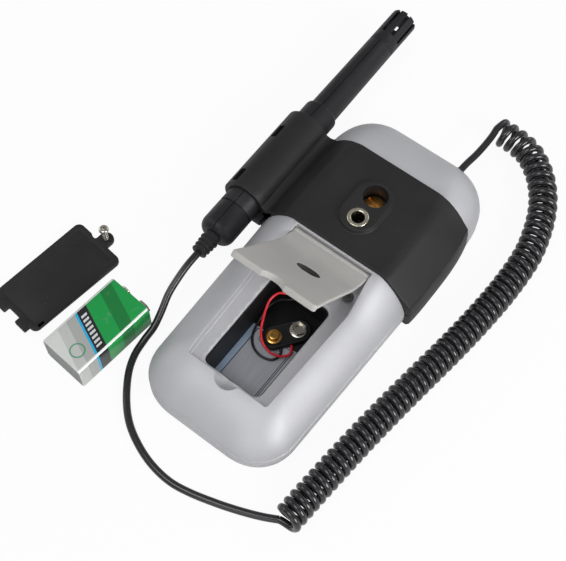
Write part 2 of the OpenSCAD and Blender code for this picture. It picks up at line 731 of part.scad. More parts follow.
battery_at = [-70.8, -73.2];
battery_turn = -5.2;
battery_r = 2.4;
battery_lip = 1.2;
module at_battery() {
    translate([battery_at[0], battery_at[1], battery_t / 2]) rotate([0, 0, battery_turn]) rotate([-90, 0, 0]) children();
}
module battery_plan(g) {
    hull() for (x = [-1, 1], y = [-1, 1])
        translate([x * (battery_w / 2 - battery_r), y * (battery_t / 2 - battery_r)]) circle(battery_r - g, $fn = 24);
}
module battery_can() {
    color([0.1, 0.5, 0.25]) at_battery() difference() {
        translate([0, 0, -battery_len / 2]) linear_extrude(battery_len) battery_plan(0);
        for (side = [-1, 1]) translate([0, 0, side * battery_len / 2]) linear_extrude(2 * battery_lip, center = true) battery_plan(0.7);
    }
}
module battery_end(side) {
    translate([0, 0, side * (battery_len / 2 - battery_lip / 2)]) linear_extrude(battery_lip - 2 * seam, center = true)
        battery_plan(0.7 + seam);
}
module battery_cap() {
    color(black) at_battery() battery_end(1);
}
module battery_base() {
    color(grey) at_battery() battery_end(-1);
}
module battery_stud() {
    color(steel) at_battery() translate([-snap_pitch / 2, 0, battery_len / 2]) {
        cylinder(r = 3.6, h = 0.4);
        cylinder(r = 2.6, h = 1.6);
        translate([0, 0, 1.6]) cylinder(r = 2.85, h = 1);
    }
}
module battery_socket() {
    color(steel) at_battery() translate([snap_pitch / 2, 0, battery_len / 2]) difference() {
        union() {
            cylinder(r = 4.4, h = 0.4);
            cylinder(r = 4, h = 2.6, $fn = 6);
        }
        translate([0, 0, 0.4]) cylinder(r = 2.9, h = 4);
    }
}

module case_screws() {
    color(steel) at_case_screws() difference() {
        union() {
            translate([0, 0, wall + 1]) cylinder(r = screw_r, h = $seat - screw_head_t - wall - 0.5);
            translate([0, 0, $seat - screw_head_t + seam]) cylinder(r = screw_head_r, h = screw_head_t - 0.4);
        }
        for (a = [0, 90]) translate([0, 0, $seat]) rotate([0, 0, a]) cube([3, 0.8, 2.4], center = true);
    }
}

// The cord leaves the cord end, joins the curly cord, and ends in the probe
cord_x = 19.7;
cord_z = 12.6;
grommet_r = 2.8;
grommet_neck = 3.8;
module cord_grommet() {
    color(black) difference() {
        intersection() {
            translate([cord_x, body_high - 6, cord_z]) rotate([-90, 0, 0]) union() {
                cylinder(r = grommet_r, h = 12);
                cylinder(r = grommet_neck, h = 1.6);
            }
            translate([0, -0.4, 0]) union() {
                rear_solid(0);
                front_solid(0);
            }
        }
        translate([cord_x, body_high, cord_z]) rotate([90, 0, 0]) cylinder(r = cord_d / 2 + run, h = 30, center = true);
    }
}
cord_exit = [cord_x, body_high - 5, cord_z];
lead_points = [cord_exit, cord_exit + [0, 4.5, 0], [20.1, 118, 12.6], [21, 126, 12.5], [21.4, 134, 12.6], [21.4, 141, 13]];
coil_r = (coil_od - cord_d) / 2;
coil_z = coil_od / 2;
coil_axis = [[21.5, 149.8, coil_z], [31, 149.6, coil_z], [41.5, 147.4, coil_z], [51, 141.3, coil_z],
    [58.8, 133.2, coil_z], [65.5, 122.6, coil_z], [70.8, 108.8, coil_z], [74.4, 92, coil_z], [75.1, 70, coil_z],
    [73.9, 48, coil_z], [71.7, 26, coil_z], [68.8, 4, coil_z], [66, -18, coil_z], [63.6, -40, coil_z],
    [61.7, -62, coil_z], [60.6, -77, coil_z], [59.5, -92, coil_z]];
// Share of the curls that has passed at each share of the axis: they lie wider apart on the bend
curl_share = [[0, 0], [0.24, 0.207], [0.37, 0.33], [1, 1]];
coil_sides = 6;
coil_rings = 8;
axis_steps = 6;
axis_fine = spline(coil_axis, axis_steps);
axis_run = [for (i = 0, s = 0; i < len(axis_fine); s = s + (i + 1 < len(axis_fine) ? norm(axis_fine[i + 1] - axis_fine[i]) : 0), i = i + 1) s];
axis_x = [for (i = [0:len(axis_fine) - 1]) [axis_run[i], axis_fine[i][0]]];
axis_y = [for (i = [0:len(axis_fine) - 1]) [axis_run[i], axis_fine[i][1]]];
axis_len = axis_run[len(axis_run) - 1];
function axis_at(s) = [lookup(s, axis_x), lookup(s, axis_y), coil_z];
// A left-handed helix that starts at the top of the first curl and ends at the bottom of the last
function helix(u) = let (s = u * axis_len, a = 360 * (coil_curls + 0.5) * lookup(u, curl_share),
        t = unit(axis_at(min(axis_len, s + 2)) - axis_at(max(0, s - 2))), side = cross(t, [0, 0, 1]))
    axis_at(s) + coil_r * (cos(a) * [0, 0, 1] - sin(a) * side);
helix_count = coil_rings * coil_curls + coil_rings / 2;
helix_points = [for (i = [0:helix_count]) helix(i / helix_count)];
helix_start = helix_points[0] - cord_d * unit(helix_points[1] - helix_points[0] + [0, 0, helix_points[0][2] - helix_points[1][2]]);
helix_end = helix_points[helix_count] + cord_d * unit(helix_points[helix_count] - helix_points[helix_count - 1]
    + [0, 0, helix_points[helix_count - 1][2] - helix_points[helix_count][2]]);
coil_points = concat([helix_start], helix_points, [helix_end]);
coil_outward = [for (i = [-1:helix_count + 1]) let (u = min(1, max(0, i / helix_count)))
    helix(u) - axis_at(u * axis_len)];
// Least gap of the curly cord to itself, from each ring to the rings one curl further on
curl_gap = min([for (i = [0:len(coil_points) - coil_rings - 2], j = [coil_rings - 1:coil_rings + 1])
    norm(coil_points[min(len(coil_points) - 1, i + j)] - coil_points[i])]) - cord_d;
echo(least_curl_gap = curl_gap, curly_cord_axis_length = axis_len);
tail_points = [helix_end, [50, -95.2, 1.9], [44, -97.9, 1.9], [36, -101, 1.9], [27, -104, 1.9],
    [15, -107.3, 1.9], [4, -108.9, 1.9], [-8, -107.7, 1.9], [-19.5, -104, 1.9], [-30, -98.3, 1.9], [-39, -90, 1.9],
    [-47, -79.3, 1.9], [-51.1, -70, 1.9], [-52.2, -61, 3.2], [-52.1, -53.5, 5.6], [-53.6, -45.5, 8.6], [-55.8, -37, 11.6],
    [-56.6, -29, 14.1], [-56.9, -21, 16.1], [-56.8, -14.5, 17], [-56.8, -12.05, 17]];
module cord_lead() {
    color(black) sweep(spline(concat(lead_points, [helix_start]), 2), cord_d / 2, 8);
}
module curly_cord() {
    color(black) sweep(coil_points, cord_d / 2, coil_sides, coil_outward);
}
module cord_tail() {
    color(black) sweep(spline(tail_points, 2), cord_d / 2, 8);
}

relief_len = 13;
relief_ribs = 4;
module strain_relief() {
    rib = relief_len / (relief_ribs + 1);
    color(black) along_probe(-relief_len + 1) difference() {
        union() {
            cylinder(r1 = 3, r2 = 4.2, h = relief_len - 1);
            for (i = [0:relief_ribs - 1]) translate([0, 0, i * rib]) cylinder(r = mix(4.2, 5.2, i / relief_ribs), h = rib * 0.55);
            translate([0, 0, relief_len - 2]) cylinder(r = 4.4, h = 5);
        }
        translate([0, 0, -1]) cylinder(r = cord_d / 2 + run, h = relief_len + 20);
    }
}

groove_y = 17.4;
groove_w = 0.8;
// The handle's rounded end as radius and height, and its shoulder at the stem
handle_end = [[6.6, 0], [8.3, 1.2], [9.3, 2.8]];
cone_len = 4.8;
shoulder = 1.8;
cap_start = handle_len + stem_len;
module probe_body(g) {
    cap_end = cap_start + (g > 0 ? 1 : 0);
    rotate_extrude() polygon(concat([[0, g]], [for (p = handle_end) p + [-g, g]], [[handle_r - g, cone_len + g],
        [handle_r - g, handle_len - shoulder - g], [handle_r - shoulder / 3 - g, handle_len - shoulder / 3 - g],
        [stem_r + stem_taper - g, handle_len - g], [stem_r - g, cap_end], [0, cap_end]]));
}
module probe_half(side) {
    color(black) along_probe(0) difference() {
        probe_body(0);
        probe_body(probe_wall);
        translate([0, 0, -1]) cylinder(r = 4.4 + seam, h = 4);
        translate([0, 0, groove_y]) difference() {
            cylinder(r = handle_r + 1, h = groove_w);
            translate([0, 0, -1]) cylinder(r = handle_r - 0.5, h = groove_w + 2);
        }
        translate([side > 0 ? -30 : -seam, -30, -1]) cube([30, 60, cap_start + 2]);
        translate([0, 0, cap_start - 4]) cylinder(r = cap_neck_r + seam, h = 5);
    }
}
board_t = 1;
cap_bore = stem_r - 1.9;
board_w = 2 * sqrt(cap_bore * cap_bore - board_t * board_t) - 0.6;
board_in = 22;
board_short = 9;
sensor_w = 4;
board_start = cap_start - board_in;
cap_neck_r = stem_r - 1;
cap_slots = 8;
first_slot = 24;
slot_start = 6.6;
slot_w = 2;
module probe_shell_right() { probe_half(1); }
module probe_shell_left() { probe_half(-1); }
module sensor_cap() {
    color(black) along_probe(cap_start + seam) difference() {
        union() {
            cylinder(r = stem_r, h = cap_len - 1);
            translate([0, 0, cap_len - 1]) cylinder(r1 = stem_r, r2 = stem_r - 0.8, h = 1);
            translate([0, 0, -3.8]) cylinder(r = cap_neck_r, h = 4);
        }
        translate([0, 0, -5]) cylinder(r = cap_bore, h = cap_len + 3);
        for (i = [0:cap_slots - 1]) rotate([0, 0, 360 * i / cap_slots + first_slot])
            translate([stem_r - 3, -slot_w / 2, slot_start]) cube([6, slot_w, cap_len]);
    }
}
module sensor_board() {
    color([0.1, 0.4, 0.25]) along_probe(board_start) translate([-board_w / 2, 0, 0]) cube([board_w, board_t, board_in + cap_len - board_short]);
}
module sensor_chip() {
    color(grey) along_probe(cap_start + cap_len - board_short - 6) translate([-sensor_w / 2, board_t + seam, 0]) cube([sensor_w, 1.2, sensor_w]);
}

window_t = 1.4;
window_z = band_recess + 0.1;
module lcd_window() {
    color([0.75, 0.8, 0.8, 0.5]) translate([0, 0, window_z + seam]) linear_extrude(window_t) window_plan(0);
}
lcd_z = inner_front + seam;
lcd_t = 2.8;
frame_w = 1.6;
module lcd_frame() {
    color(charcoal) translate([0, 0, lcd_z]) linear_extrude(lcd_t) difference() {
        window_plan(frame_w + 0.4);
        window_plan(0);
        case_boss_plan();
    }
}
module lcd_module() {
    color([0.55, 0.6, 0.52]) translate([0, 0, lcd_z + 0.2]) linear_extrude(lcd_t - 0.3) window_plan(-fit);
}
board_z = 7.6;
board_low = opening_high + box_wall + 4;
board_high = 98;
board_half = 31;
main_t = 1.6;
module zebra_strips() {
    color([0.8, 0.5, 0.5]) for (side = [-1, 1]) translate([-window_w / 2 + 3, window_y + side * (window_len / 2 - 2) - 1, lcd_z + lcd_t + seam])
        cube([window_w - 6, 2, board_z - lcd_z - lcd_t - 2 * seam]);
}
module main_board() {
    color([0.1, 0.4, 0.25]) translate([0, 0, board_z]) linear_extrude(main_t) difference() {
        translate([-board_half, board_low]) square([2 * board_half, board_high - board_low]);
        case_boss_plan();
    }
}
module main_chip() {
    color(black) translate([0, window_y, board_z + main_t + seam]) linear_extrude(chip_t) square(chip_w, center = true);
}
chip_w = 12;
chip_t = 1.8;
switch_t = 1.6;
switch_w = 5;
module key_switches() {
    color(grey) for (place = key_places) translate([place[0], place[1], board_z - switch_t - seam])
        linear_extrude(switch_t) square(switch_w, center = true);
}
key_top = board_z - switch_t - key_travel - 0.2;
module key(index, tint) {
    place = key_places[index];
    color(tint) translate([place[0], place[1], key_low]) union() {
        linear_extrude(wall + fit - key_low + eps) key_plan(0);
        translate([0, 0, wall + fit - key_low]) linear_extrude(key_flange) key_plan(0.8);
        translate([0, 0, wall + fit - key_low]) cylinder(r = 1.6, h = key_top - wall - fit);
    }
}
module key_power() { key(0, [0.75, 0.25, 0.2]); }
module key_light() { key(1, grey); }
module key_hold() { key(2, grey); }
module key_max_min() { key(3, grey); }
module key_unit() { key(4, grey); }

front_cover();
rear_cover();
holster_band();
front_band();
tripod_insert();
lock_screw();
stand();
battery_box();
floor_plate();
snap_connector();
snap_stud();
snap_socket();
red_lead();
black_lead();
battery_cover();
cover_screw();
battery_can();
battery_cap();
battery_stud();
battery_socket();
battery_base();
case_screws();
cord_grommet();
cord_lead();
curly_cord();
cord_tail();
strain_relief();
probe_shell_right();
probe_shell_left();
sensor_cap();
sensor_board();
sensor_chip();
lcd_window();
lcd_frame();
lcd_module();
zebra_strips();
main_board();
main_chip();
key_switches();
key_power();
key_hold();
key_max_min();
key_unit();
key_light();
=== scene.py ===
# A handheld digital thermo-hygrometer, photographed face down with its stand propped up and its battery
# and battery cover beside it. Shapes are in millimetres in the part's own frame, and are turned to metres
# where a mesh is made. Finishes and lamps are in metres.
import math

import bmesh
import bpy
import numpy as np
from mathutils import Matrix, Vector
from mathutils.geometry import delaunay_2d_cdt


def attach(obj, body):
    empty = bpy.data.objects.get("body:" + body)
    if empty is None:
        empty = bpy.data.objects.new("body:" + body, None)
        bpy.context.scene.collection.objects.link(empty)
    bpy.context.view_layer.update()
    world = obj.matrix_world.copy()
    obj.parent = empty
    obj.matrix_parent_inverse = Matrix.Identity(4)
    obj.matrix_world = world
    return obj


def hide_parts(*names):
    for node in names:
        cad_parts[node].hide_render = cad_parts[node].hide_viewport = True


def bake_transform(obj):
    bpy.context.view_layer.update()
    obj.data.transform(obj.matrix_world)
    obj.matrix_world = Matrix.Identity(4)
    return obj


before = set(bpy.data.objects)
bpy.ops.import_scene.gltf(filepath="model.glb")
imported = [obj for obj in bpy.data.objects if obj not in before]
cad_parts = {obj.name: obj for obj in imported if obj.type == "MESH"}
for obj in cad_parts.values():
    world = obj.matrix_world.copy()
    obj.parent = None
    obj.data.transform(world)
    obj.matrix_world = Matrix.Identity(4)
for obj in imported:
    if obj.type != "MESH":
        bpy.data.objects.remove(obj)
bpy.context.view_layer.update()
UP = np.array([0, 0, 1.0])
MIRROR = np.array([-1, 1, 1])


def added(name, data):
    """A new object in the scene."""
    made = bpy.data.objects.new(name, data)
    bpy.context.scene.collection.objects.link(made)
    return made


# ---- Finishes
class Wire:
    """An output socket of a shader node. Arithmetic on it adds Math nodes, and node() adds any other."""

    def __init__(self, tree, socket):
        self.tree, self.socket = tree, socket

    def node(self, kind, settings=None, out=0, **values):
        made = self.tree.nodes.new("ShaderNode" + kind)
        for key, value in (settings or {}).items():
            if key == "stops":
                ramp = made.color_ramp.elements
                while len(ramp) < len(value):
                    ramp.new(0.5)
                for stop, (place, colour) in zip(ramp, value):
                    stop.position, stop.color = place, (*colour, 1)
            elif key == "ease":
                made.color_ramp.interpolation = value
            else:
                setattr(made, key, value)
        for key, value in values.items():
            socket = made.inputs[int(key[1:]) if key[0] == "i" and key[1:].isdigit() else key.replace("_", " ")]
            if isinstance(value, Wire):
                self.tree.links.new(value.socket, socket)
            elif isinstance(value, tuple) and len(value) == 3 and len(socket.default_value) == 4:
                socket.default_value = (*value, 1)
            else:
                socket.default_value = value
        return Wire(self.tree, made.outputs[out]) if made.outputs else None

    def twin(self, output):
        """Another output of this one's node."""
        return Wire(self.tree, self.socket.node.outputs[output])

    def maths(self, operation, other=0.0):
        return self.node("Math", {"operation": operation}, i0=self, i1=other)

    def __add__(self, other):
        return self.maths("ADD", other)

    def __sub__(self, other):
        return self.maths("SUBTRACT", other)

    def __rsub__(self, other):
        return (self * -1.0) + other

    def __mul__(self, other):
        return self.maths("MULTIPLY", other)

    def __truediv__(self, other):
        return self.maths("DIVIDE", other)

    def __abs__(self):
        return self.maths("ABSOLUTE")

    def step(self, low, high):
        """0 where the value is under low, 1 where it is over high, and smooth between."""
        return self.node("MapRange", {"interpolation_type": "SMOOTHSTEP"}, Value=self, From_Min=low, From_Max=high)

    def mix(self, first, second):
        """The first colour where this is 0, and the second where it is 1."""
        return self.node("Mix", {"data_type": "RGBA"}, out=2, i0=self, i6=first, i7=second)


class Finish:
    """A material in the making: place is the place in metres, and coat() closes it with its shader."""

    def __init__(self, name):
        self.material = bpy.data.materials.new(name)
        self.material.use_nodes = True
        self.tree = self.material.node_tree
        self.tree.nodes.clear()
        self.place = Wire(self.tree, None).node("TexCoord", out=3)

    def noise(self, scale, detail=3.0, roughness=0.55, place=None):
        return self.place.node("TexNoise", Vector=place or self.place, Scale=scale, Detail=detail, Roughness=roughness)

    def specks(self, base, noise, cut, share, colour):
        """A colour with specks of another: noise of a scale and detail, cut smoothly between two values."""
        return (self.noise(*noise).step(*cut) * share).mix(base, colour)

    def parts(self, place=None):
        """The X, Y and Z of a place, each as a number."""
        split = self.place.node("SeparateXYZ", Vector=place or self.place)
        return [split.twin(k) for k in range(3)]

    def bump(self, height, distance):
        return self.place.node("Bump", Height=height, Distance=distance)

    def coat(self, **values):
        shader = self.place.node("BsdfPrincipled", **values)
        self.place.node("OutputMaterial", Surface=shader)
        return self.material


def tone(red, green, blue):
    """A colour in linear light, from its 0 to 255 on a screen."""
    c = np.array([red, green, blue]) / 255
    return tuple(np.where(c <= 0.04045, c / 12.92, ((c + 0.055) / 1.055) ** 2.4).tolist())


def stroke(distance, half):
    """1 within half a line's width of the distance's zero, in metres, and 0 beyond."""
    return 1.0 - abs(distance).step(half, half + 0.0001)


def away(x, y, from_x, from_y):
    """How far a place lies from a point in plan."""
    return ((x - from_x) * (x - from_x) + (y - from_y) * (y - from_y)).maths("SQRT")


def mottled(name, noise, cut, tones, rough, bumps=None, **more):
    """A finish in two tones. Its patches are noise of a scale and detail, cut smoothly between two values.
    Roughness is rough[0] + rough[1] times the patches. Bumps are a height in metres, and their own noise
    where they don't follow the patches."""
    made = Finish(name)
    patch = made.noise(*noise).step(*cut)
    if bumps:
        more["Normal"] = made.bump(made.noise(*bumps[1:]) if bumps[1:] else patch, bumps[0])
    return made.coat(Base_Color=patch.mix(*tones), Roughness=patch * rough[1] + rough[0], **more)


def plated(name, base, worn, roughness):
    """A plated metal: bright, with fine turning marks and a little dulling."""
    return mottled(name, (160.0, 3.0, 0.6), (0.35, 0.8), (base, worn), (roughness, 0.12), (0.000006, 2600.0, 2.0),
                   Metallic=1.0)


def dress(piece, material, slot, body, *nodes):
    """Gives a piece its one material, its body, if it has one alone, and the nodes it replaces. The slot is not used.
    """
    piece.data.materials.append(material)
    if body:
        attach(piece, body)
    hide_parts(*nodes)


# ---- Camera, table and studio light
# The picture is taken with a long lens from above the battery end, well to the right. The table is a
# white sheet that keeps the soft shadow. Of five soft lamps the one on the right is the strongest.
def turned_camera(azimuth, elevation, roll):
    """Rows of the camera: its right, its up and its back direction in the part's frame."""
    a, e, r = np.radians([azimuth, elevation, roll])
    back = np.array([math.sin(a) * math.cos(e), -math.cos(a) * math.cos(e), math.sin(e)])
    right = np.array([math.cos(a), math.sin(a), 0])
    up = np.cross(back, right)
    return np.array([math.cos(r) * right + math.sin(r) * up, -math.sin(r) * right + math.cos(r) * up, back])


# The camera's place along its own right, up and back
CAMERA_AT = np.array([-9.65, 16.22, 582.0])
camera = added("camera", bpy.data.cameras.new("camera"))
camera_rows = turned_camera(azimuth=36.1, elevation=62.65, roll=1.3)
pose = np.eye(4)
pose[:3, :3] = camera_rows.T
pose[:3, 3] = camera_rows.T @ CAMERA_AT / 1000
camera.matrix_world = Matrix(pose.tolist())
camera.data.lens, camera.data.sensor_width = 73.15, 36
camera.data.clip_start, camera.data.clip_end = 0.02, 20
bpy.context.scene.camera = camera
bpy.context.scene.view_settings.view_transform = "Standard"

SHEET_HALF, SHEET_Z = 4, -0.0003
floor = added("table_sheet", bpy.data.meshes.new("table_sheet"))
floor.data.from_pydata([(x * SHEET_HALF, y * SHEET_HALF, SHEET_Z) for x, y in ((-1, -1), (1, -1), (1, 1), (-1, 1))],
                       [], [(0, 1, 2, 3)])
sheet = Finish("white_sheet")
seen = sheet.place.node("LightPath")
bright = seen.twin("Is Camera Ray") * 0.93 + seen.twin("Is Glossy Ray") * 0.30
lit = sheet.place.node("BsdfDiffuse", Color=(0.82, 0.82, 0.82))
glow = sheet.place.node("Emission", Color=(1, 1, 1), Strength=1.0)
sheet.place.node("OutputMaterial", Surface=sheet.place.node("MixShader", Fac=bright, i1=lit, i2=glow))
floor.data.materials.append(sheet.material)

world = bpy.data.worlds.new("studio")
bpy.context.scene.world = world
world.use_nodes = True
world.node_tree.nodes.clear()
air = Wire(world.node_tree, None)
in_view = air.node("LightPath").twin("Is Camera Ray")
around_all = air.node("Background", Color=(0.97, 0.98, 1.0), Strength=0.33)
behind_all = air.node("Background", Color=(1, 1, 1), Strength=1.0)
air.node("OutputWorld", Surface=air.node("MixShader", Fac=in_view, i1=around_all, i2=behind_all))

for name, place, size, power in (
        ("right_lamp", (1.05, -0.05, 0.6), (0.6, 0.5), 9.2), ("top_lamp", (-0.15, -0.45, 1.15), (0.6, 0.6), 4.0),
        ("front_lamp", (0.35, -0.9, 0.5), (0.5, 0.4), 1.2), ("left_lamp", (-1.0, -0.2, 0.5), (0.5, 0.5), 1.4),
        ("back_lamp", (0.3, 1.0, 0.5), (0.5, 0.4), 1.2)):
    lamp = added(name, bpy.data.lights.new(name, "AREA"))
    lamp.data.shape, lamp.data.size, lamp.data.size_y, lamp.data.energy = "RECTANGLE", *size, power
    lamp.location = place
    lamp.rotation_euler = (-Vector(place)).to_track_quat("-Z", "Y").to_euler()


# ---- Shapes
# A loop is an array of points, and a mesh is points and faces.
def unit(v):
    """Vectors of length one in the same directions."""
    return v / np.linalg.norm(v, axis=-1, keepdims=True)


def column(*coordinates):
    """Points from coordinates, each a number or a whole array."""
    return np.stack(np.broadcast_arrays(*[np.asarray(c, float) for c in coordinates]), -1)


def at_height(loop, z):
    return column(loop[:, 0], loop[:, 1], z)


def shift(points, place, turn):
    """Points turned about the upward axis by turn degrees and moved to a place."""
    t = math.radians(turn)
    spin = np.array([[math.cos(t), -math.sin(t), 0], [math.sin(t), math.cos(t), 0], [0, 0, 1]])
    return np.asarray(points) @ spin.T + place


def run_along(path):
    """The distance along a path at each of its points."""
    return np.r_[0, np.cumsum(np.linalg.norm(np.diff(path, axis=0), axis=1))]


def spline(points, steps):
    """A smooth line through points: on each stretch a cubic whose ends head along their neighbours."""
    p = np.asarray(points, float)
    a, b, c, d = p[np.r_[0, 0:len(p) - 2]], p[:-1], p[1:], p[np.r_[2:len(p), len(p) - 1]]
    t = (np.arange(steps) / steps)[None, :, None]
    a, b, c, d = (x[:, None, :] for x in (a, b, c, d))
    line = 0.5 * (2 * b + (c - a) * t + (2 * a - 5 * b + 4 * c - d) * t**2 + (3 * b - a - 3 * c + d) * t**3)
    return np.vstack([line.reshape(-1, p.shape[1]), p[-1:]])


def arc(x, y, radius, first, last, count):
    """Points on a circle from one angle to another, in degrees."""
    a = np.radians(np.linspace(first, last, count))
    return column(x + radius * np.cos(a), y + radius * np.sin(a))


def circle(x, y, radius, count=40):
    """A round loop."""
    a = np.arange(count) * 2 * np.pi / count
    return column(x + radius * np.cos(a), y + radius * np.sin(a))


def box_corners(x0, x1, y0, y1):
    return [[x0, y0], [x1, y0], [x1, y1], [x0, y1]]


def grid(x0, x1, y0, y1, step):
    """Plan points in staggered rows."""
    x, y = np.meshgrid(np.arange(x0, x1, step), np.arange(y0, y1, step))
    return np.stack([(x + (np.arange(len(x)) % 2 * step / 2)[:, None]).ravel(), y.ravel()], 1)


def rounded(corners, radii, step=2.0):
    """A closed loop through corners: each is an arc of its radius, with points every step on the runs between."""
    c = np.asarray(corners, float)
    arcs, starts = [], []
    for last, here, ahead, r in zip(np.roll(c, 1, 0), c, np.roll(c, -1, 0), np.broadcast_to(radii, len(c))):
        u, v = unit(here - last), unit(ahead - here)
        turn = math.atan2(u[0] * v[1] - u[1] * v[0], u @ v)
        reach = abs(r * math.tan(turn / 2))
        starts.append(here - reach * u)
        if reach > 1e-6:
            middle = starts[-1] + math.copysign(r, turn) * np.array([-u[1], u[0]])
            a, arm = turn * np.linspace(0, 1, 9)[:, None], starts[-1] - middle
            arcs.append(middle + arm * np.cos(a) + np.array([-arm[1], arm[0]]) * np.sin(a))
        else:
            arcs.append(here[None])
    out = []
    for points, end in zip(arcs, [*starts[1:], starts[0]]):
        start = points[-1]
        count = max(1, round(float(np.linalg.norm(end - start)) / step))
        out += [points, start + (end - start) * (np.arange(1, count) / count)[:, None]]
    return np.vstack(out)


def offset(loop, inset):
    """A closed loop drawn in by inset: each point moves along the sum m of its two sides' normals, by
    inset times m over (1 + their dot product)."""
    flat = loop[:, :2]
    along = unit(np.roll(flat, -1, 0) - flat)
    normal = np.stack([along[:, 1], -along[:, 0]], 1)
    both = normal + np.roll(normal, 1, 0)
    share = np.maximum((both * both).sum(1, keepdims=True) / 2, 0.3)
    return flat - inset * both / share


def tiers(loop, *steps):
    """Loops drawn from one, each by an inset and at a height."""
    return [at_height(offset(loop, inset), z) for inset, z in steps]


def foot_round(r, z, count=5):
    """Insets and heights up an edge rounded by r, whose lowest place is z."""
    return [(r * (1 - math.sin(a)), z + r * (1 - math.cos(a))) for a in np.linspace(0, np.pi / 2, count)]


def top_round(r, z, count=5):
    """Insets and heights up an edge rounded by r, whose highest place is z."""
    return [(r * (1 - math.cos(a)), z - r * (1 - math.sin(a))) for a in np.linspace(0, np.pi / 2, count)]


def holds(loop, points):
    """Which points lie inside a loop: those with an odd number of its sides to their right."""
    x, y = points[:, 0, None], points[:, 1, None]
    (ax, ay), (bx, by) = loop[:, :2].T, np.roll(loop[:, :2], -1, 0).T
    level = np.where(np.abs(by - ay) < 1e-12, 1e-12, by - ay)
    return (((ay > y) != (by > y)) & (x < ax + (y - ay) / level * (bx - ax))).sum(1) % 2 == 1


def fill(outer, *holes, inner=None, clear=0.8):
    """Triangles between a loop and the holes in it. Inner points are used where they lie clear of the loops,
    and each point keeps its own height."""
    def between(spots):
        keep = holds(outer, spots)
        for hole in holes:
            keep &= ~holds(hole, spots)
        return keep

    loops = [outer, *holes]
    points = np.vstack(loops)
    if inner is not None:
        near = [np.linalg.norm(inner[:, None, :2] - loop[None, :, :2], axis=2).min(1) for loop in loops]
        points = np.vstack([points, inner[(np.min(near, axis=0) > clear) & between(inner)]])
    edges, start = [], 0
    for loop in loops:
        edges += [(start + k, start + (k + 1) % len(loop)) for k in range(len(loop))]
        start += len(loop)
    flat = [Vector(p) for p in points[:, :2].tolist()]
    spots, _, faces, origin, _, _ = delaunay_2d_cdt(flat, edges, [], 0, 1e-6)
    faces = np.array([f for f in faces if len(f) == 3])
    spots = np.array([tuple(s) for s in spots])
    # A spot where two sides cross comes from no point, so it goes in as a new one at its nearest point's height
    use = np.array([o[0] if o else -1 for o in origin])
    for k in np.flatnonzero(use < 0):
        close = points[np.argmin(np.linalg.norm(points[:, :2] - spots[k], axis=1)), 2]
        use[k] = len(points)
        points = np.vstack([points, [*spots[k], close]])
    return points, use[faces[between(spots[faces].mean(1))]]


def upright(loop):
    """A fill of a loop that stands square to the meter's length."""
    points, faces = fill(loop[:, [0, 2, 1]])
    return points[:, [0, 2, 1]], faces


def disc(ring):
    """One face across a ring."""
    return ring, [tuple(range(len(ring)))]


def weave(rows, columns, wrap=False):
    """Quads of a grid of points kept row by row; wrap joins the last column to the first."""
    i, j = np.meshgrid(np.arange(rows - 1), np.arange(columns if wrap else columns - 1), indexing="ij")
    k = (j + 1) % columns
    return np.stack([i * columns + j, i * columns + k, (i + 1) * columns + k, (i + 1) * columns + j], -1).reshape(-1, 4)


def sheet_of(rows):
    """An open surface through rows of points."""
    return rows.reshape(-1, 3), weave(*rows.shape[:2])


def wall(*rings):
    """The sides through a stack of closed loops with the same number of points."""
    return np.vstack(rings), weave(len(rings), len(rings[0]), wrap=True)


def well(top, base):
    """The sides from a loop down to a height, and the floor there."""
    low = at_height(top, base)
    return wall(top, low), fill(low)


def join(*parts):
    """Several meshes as one."""
    points, faces, start = [], [], 0
    for p, f in parts:
        points.append(np.asarray(p, float))
        faces += [tuple(int(k) + start for k in face) for face in f]
        start += len(p)
    return np.vstack(points), faces


def capped(rings):
    """A solid through a stack of loops, filled at both ends."""
    return join(wall(*rings), fill(rings[0]), fill(rings[-1]))


def turned(profile, count=48, sides=None):
    """Rings of a profile of (radius, height) spun round the upward axis. With sides (n, first, last), the
    radii from first to last are those of a polygon with n sides, radius / cos(angle from a side's middle)."""
    a = np.arange(count) * 2 * np.pi / count
    rings = []
    for k, (r, z) in enumerate(profile):
        reach = np.full(count, float(r))
        if sides and sides[1] <= k <= sides[2]:
            part = 2 * np.pi / sides[0]
            reach = r * math.cos(part / 2) / np.cos((a % part) - part / 2)
        rings.append(column(reach * np.cos(a), reach * np.sin(a), z))
    return rings


def spun(profile, count=48, sides=None):
    """That, as a closed solid: the two ends of the profile lie on the axis or are capped."""
    rings = turned(profile, count, sides)
    return join(wall(*rings), *[disc(rings[k]) for k in (0, -1) if profile[k][0] > 1e-6])


def threaded(profile, pitch, depth, low, high, count=48):
    """The same rings with a thread between heights low and high: depth is added to the radius, times twice
    the distance of height / pitch - angle / turn from its nearest whole number."""
    a = np.arange(count) * 2 * np.pi / count
    rings = []
    for r, z in profile:
        cycle = (z / pitch - a / (2 * np.pi)) % 1
        cut = depth * (1 - np.abs(2 * cycle - 1)) if low <= z <= high else 0
        rings.append(column((r + cut) * np.cos(a), (r + cut) * np.sin(a), z))
    return rings


def tube(path, radius, sides, outward=UP):
    """A round bar round a path: each ring is the path's point plus radius times the cosine and sine of the
    two directions square to the path, turned by the upward direction or the one given. Ends are closed."""
    along = unit(np.gradient(path, axis=0))
    across = unit(np.cross(outward, along))
    third = np.cross(along, across)
    turn = (np.arange(sides) * 2 * np.pi / sides)[None, :, None]
    rings = path[:, None] + radius * (np.cos(turn) * across[:, None] + np.sin(turn) * third[:, None])
    n, k = len(path), np.arange(sides)
    ahead = (k + 1) % sides
    ends = [np.stack([np.full(sides, n * sides), ahead, k], 1),
            np.stack([np.full(sides, n * sides + 1), (n - 1) * sides + k, (n - 1) * sides + ahead], 1)]
    return np.vstack([rings.reshape(-1, 3), path[:1], path[-1:]]), [*weave(n, sides, wrap=True), *ends[0], *ends[1]]


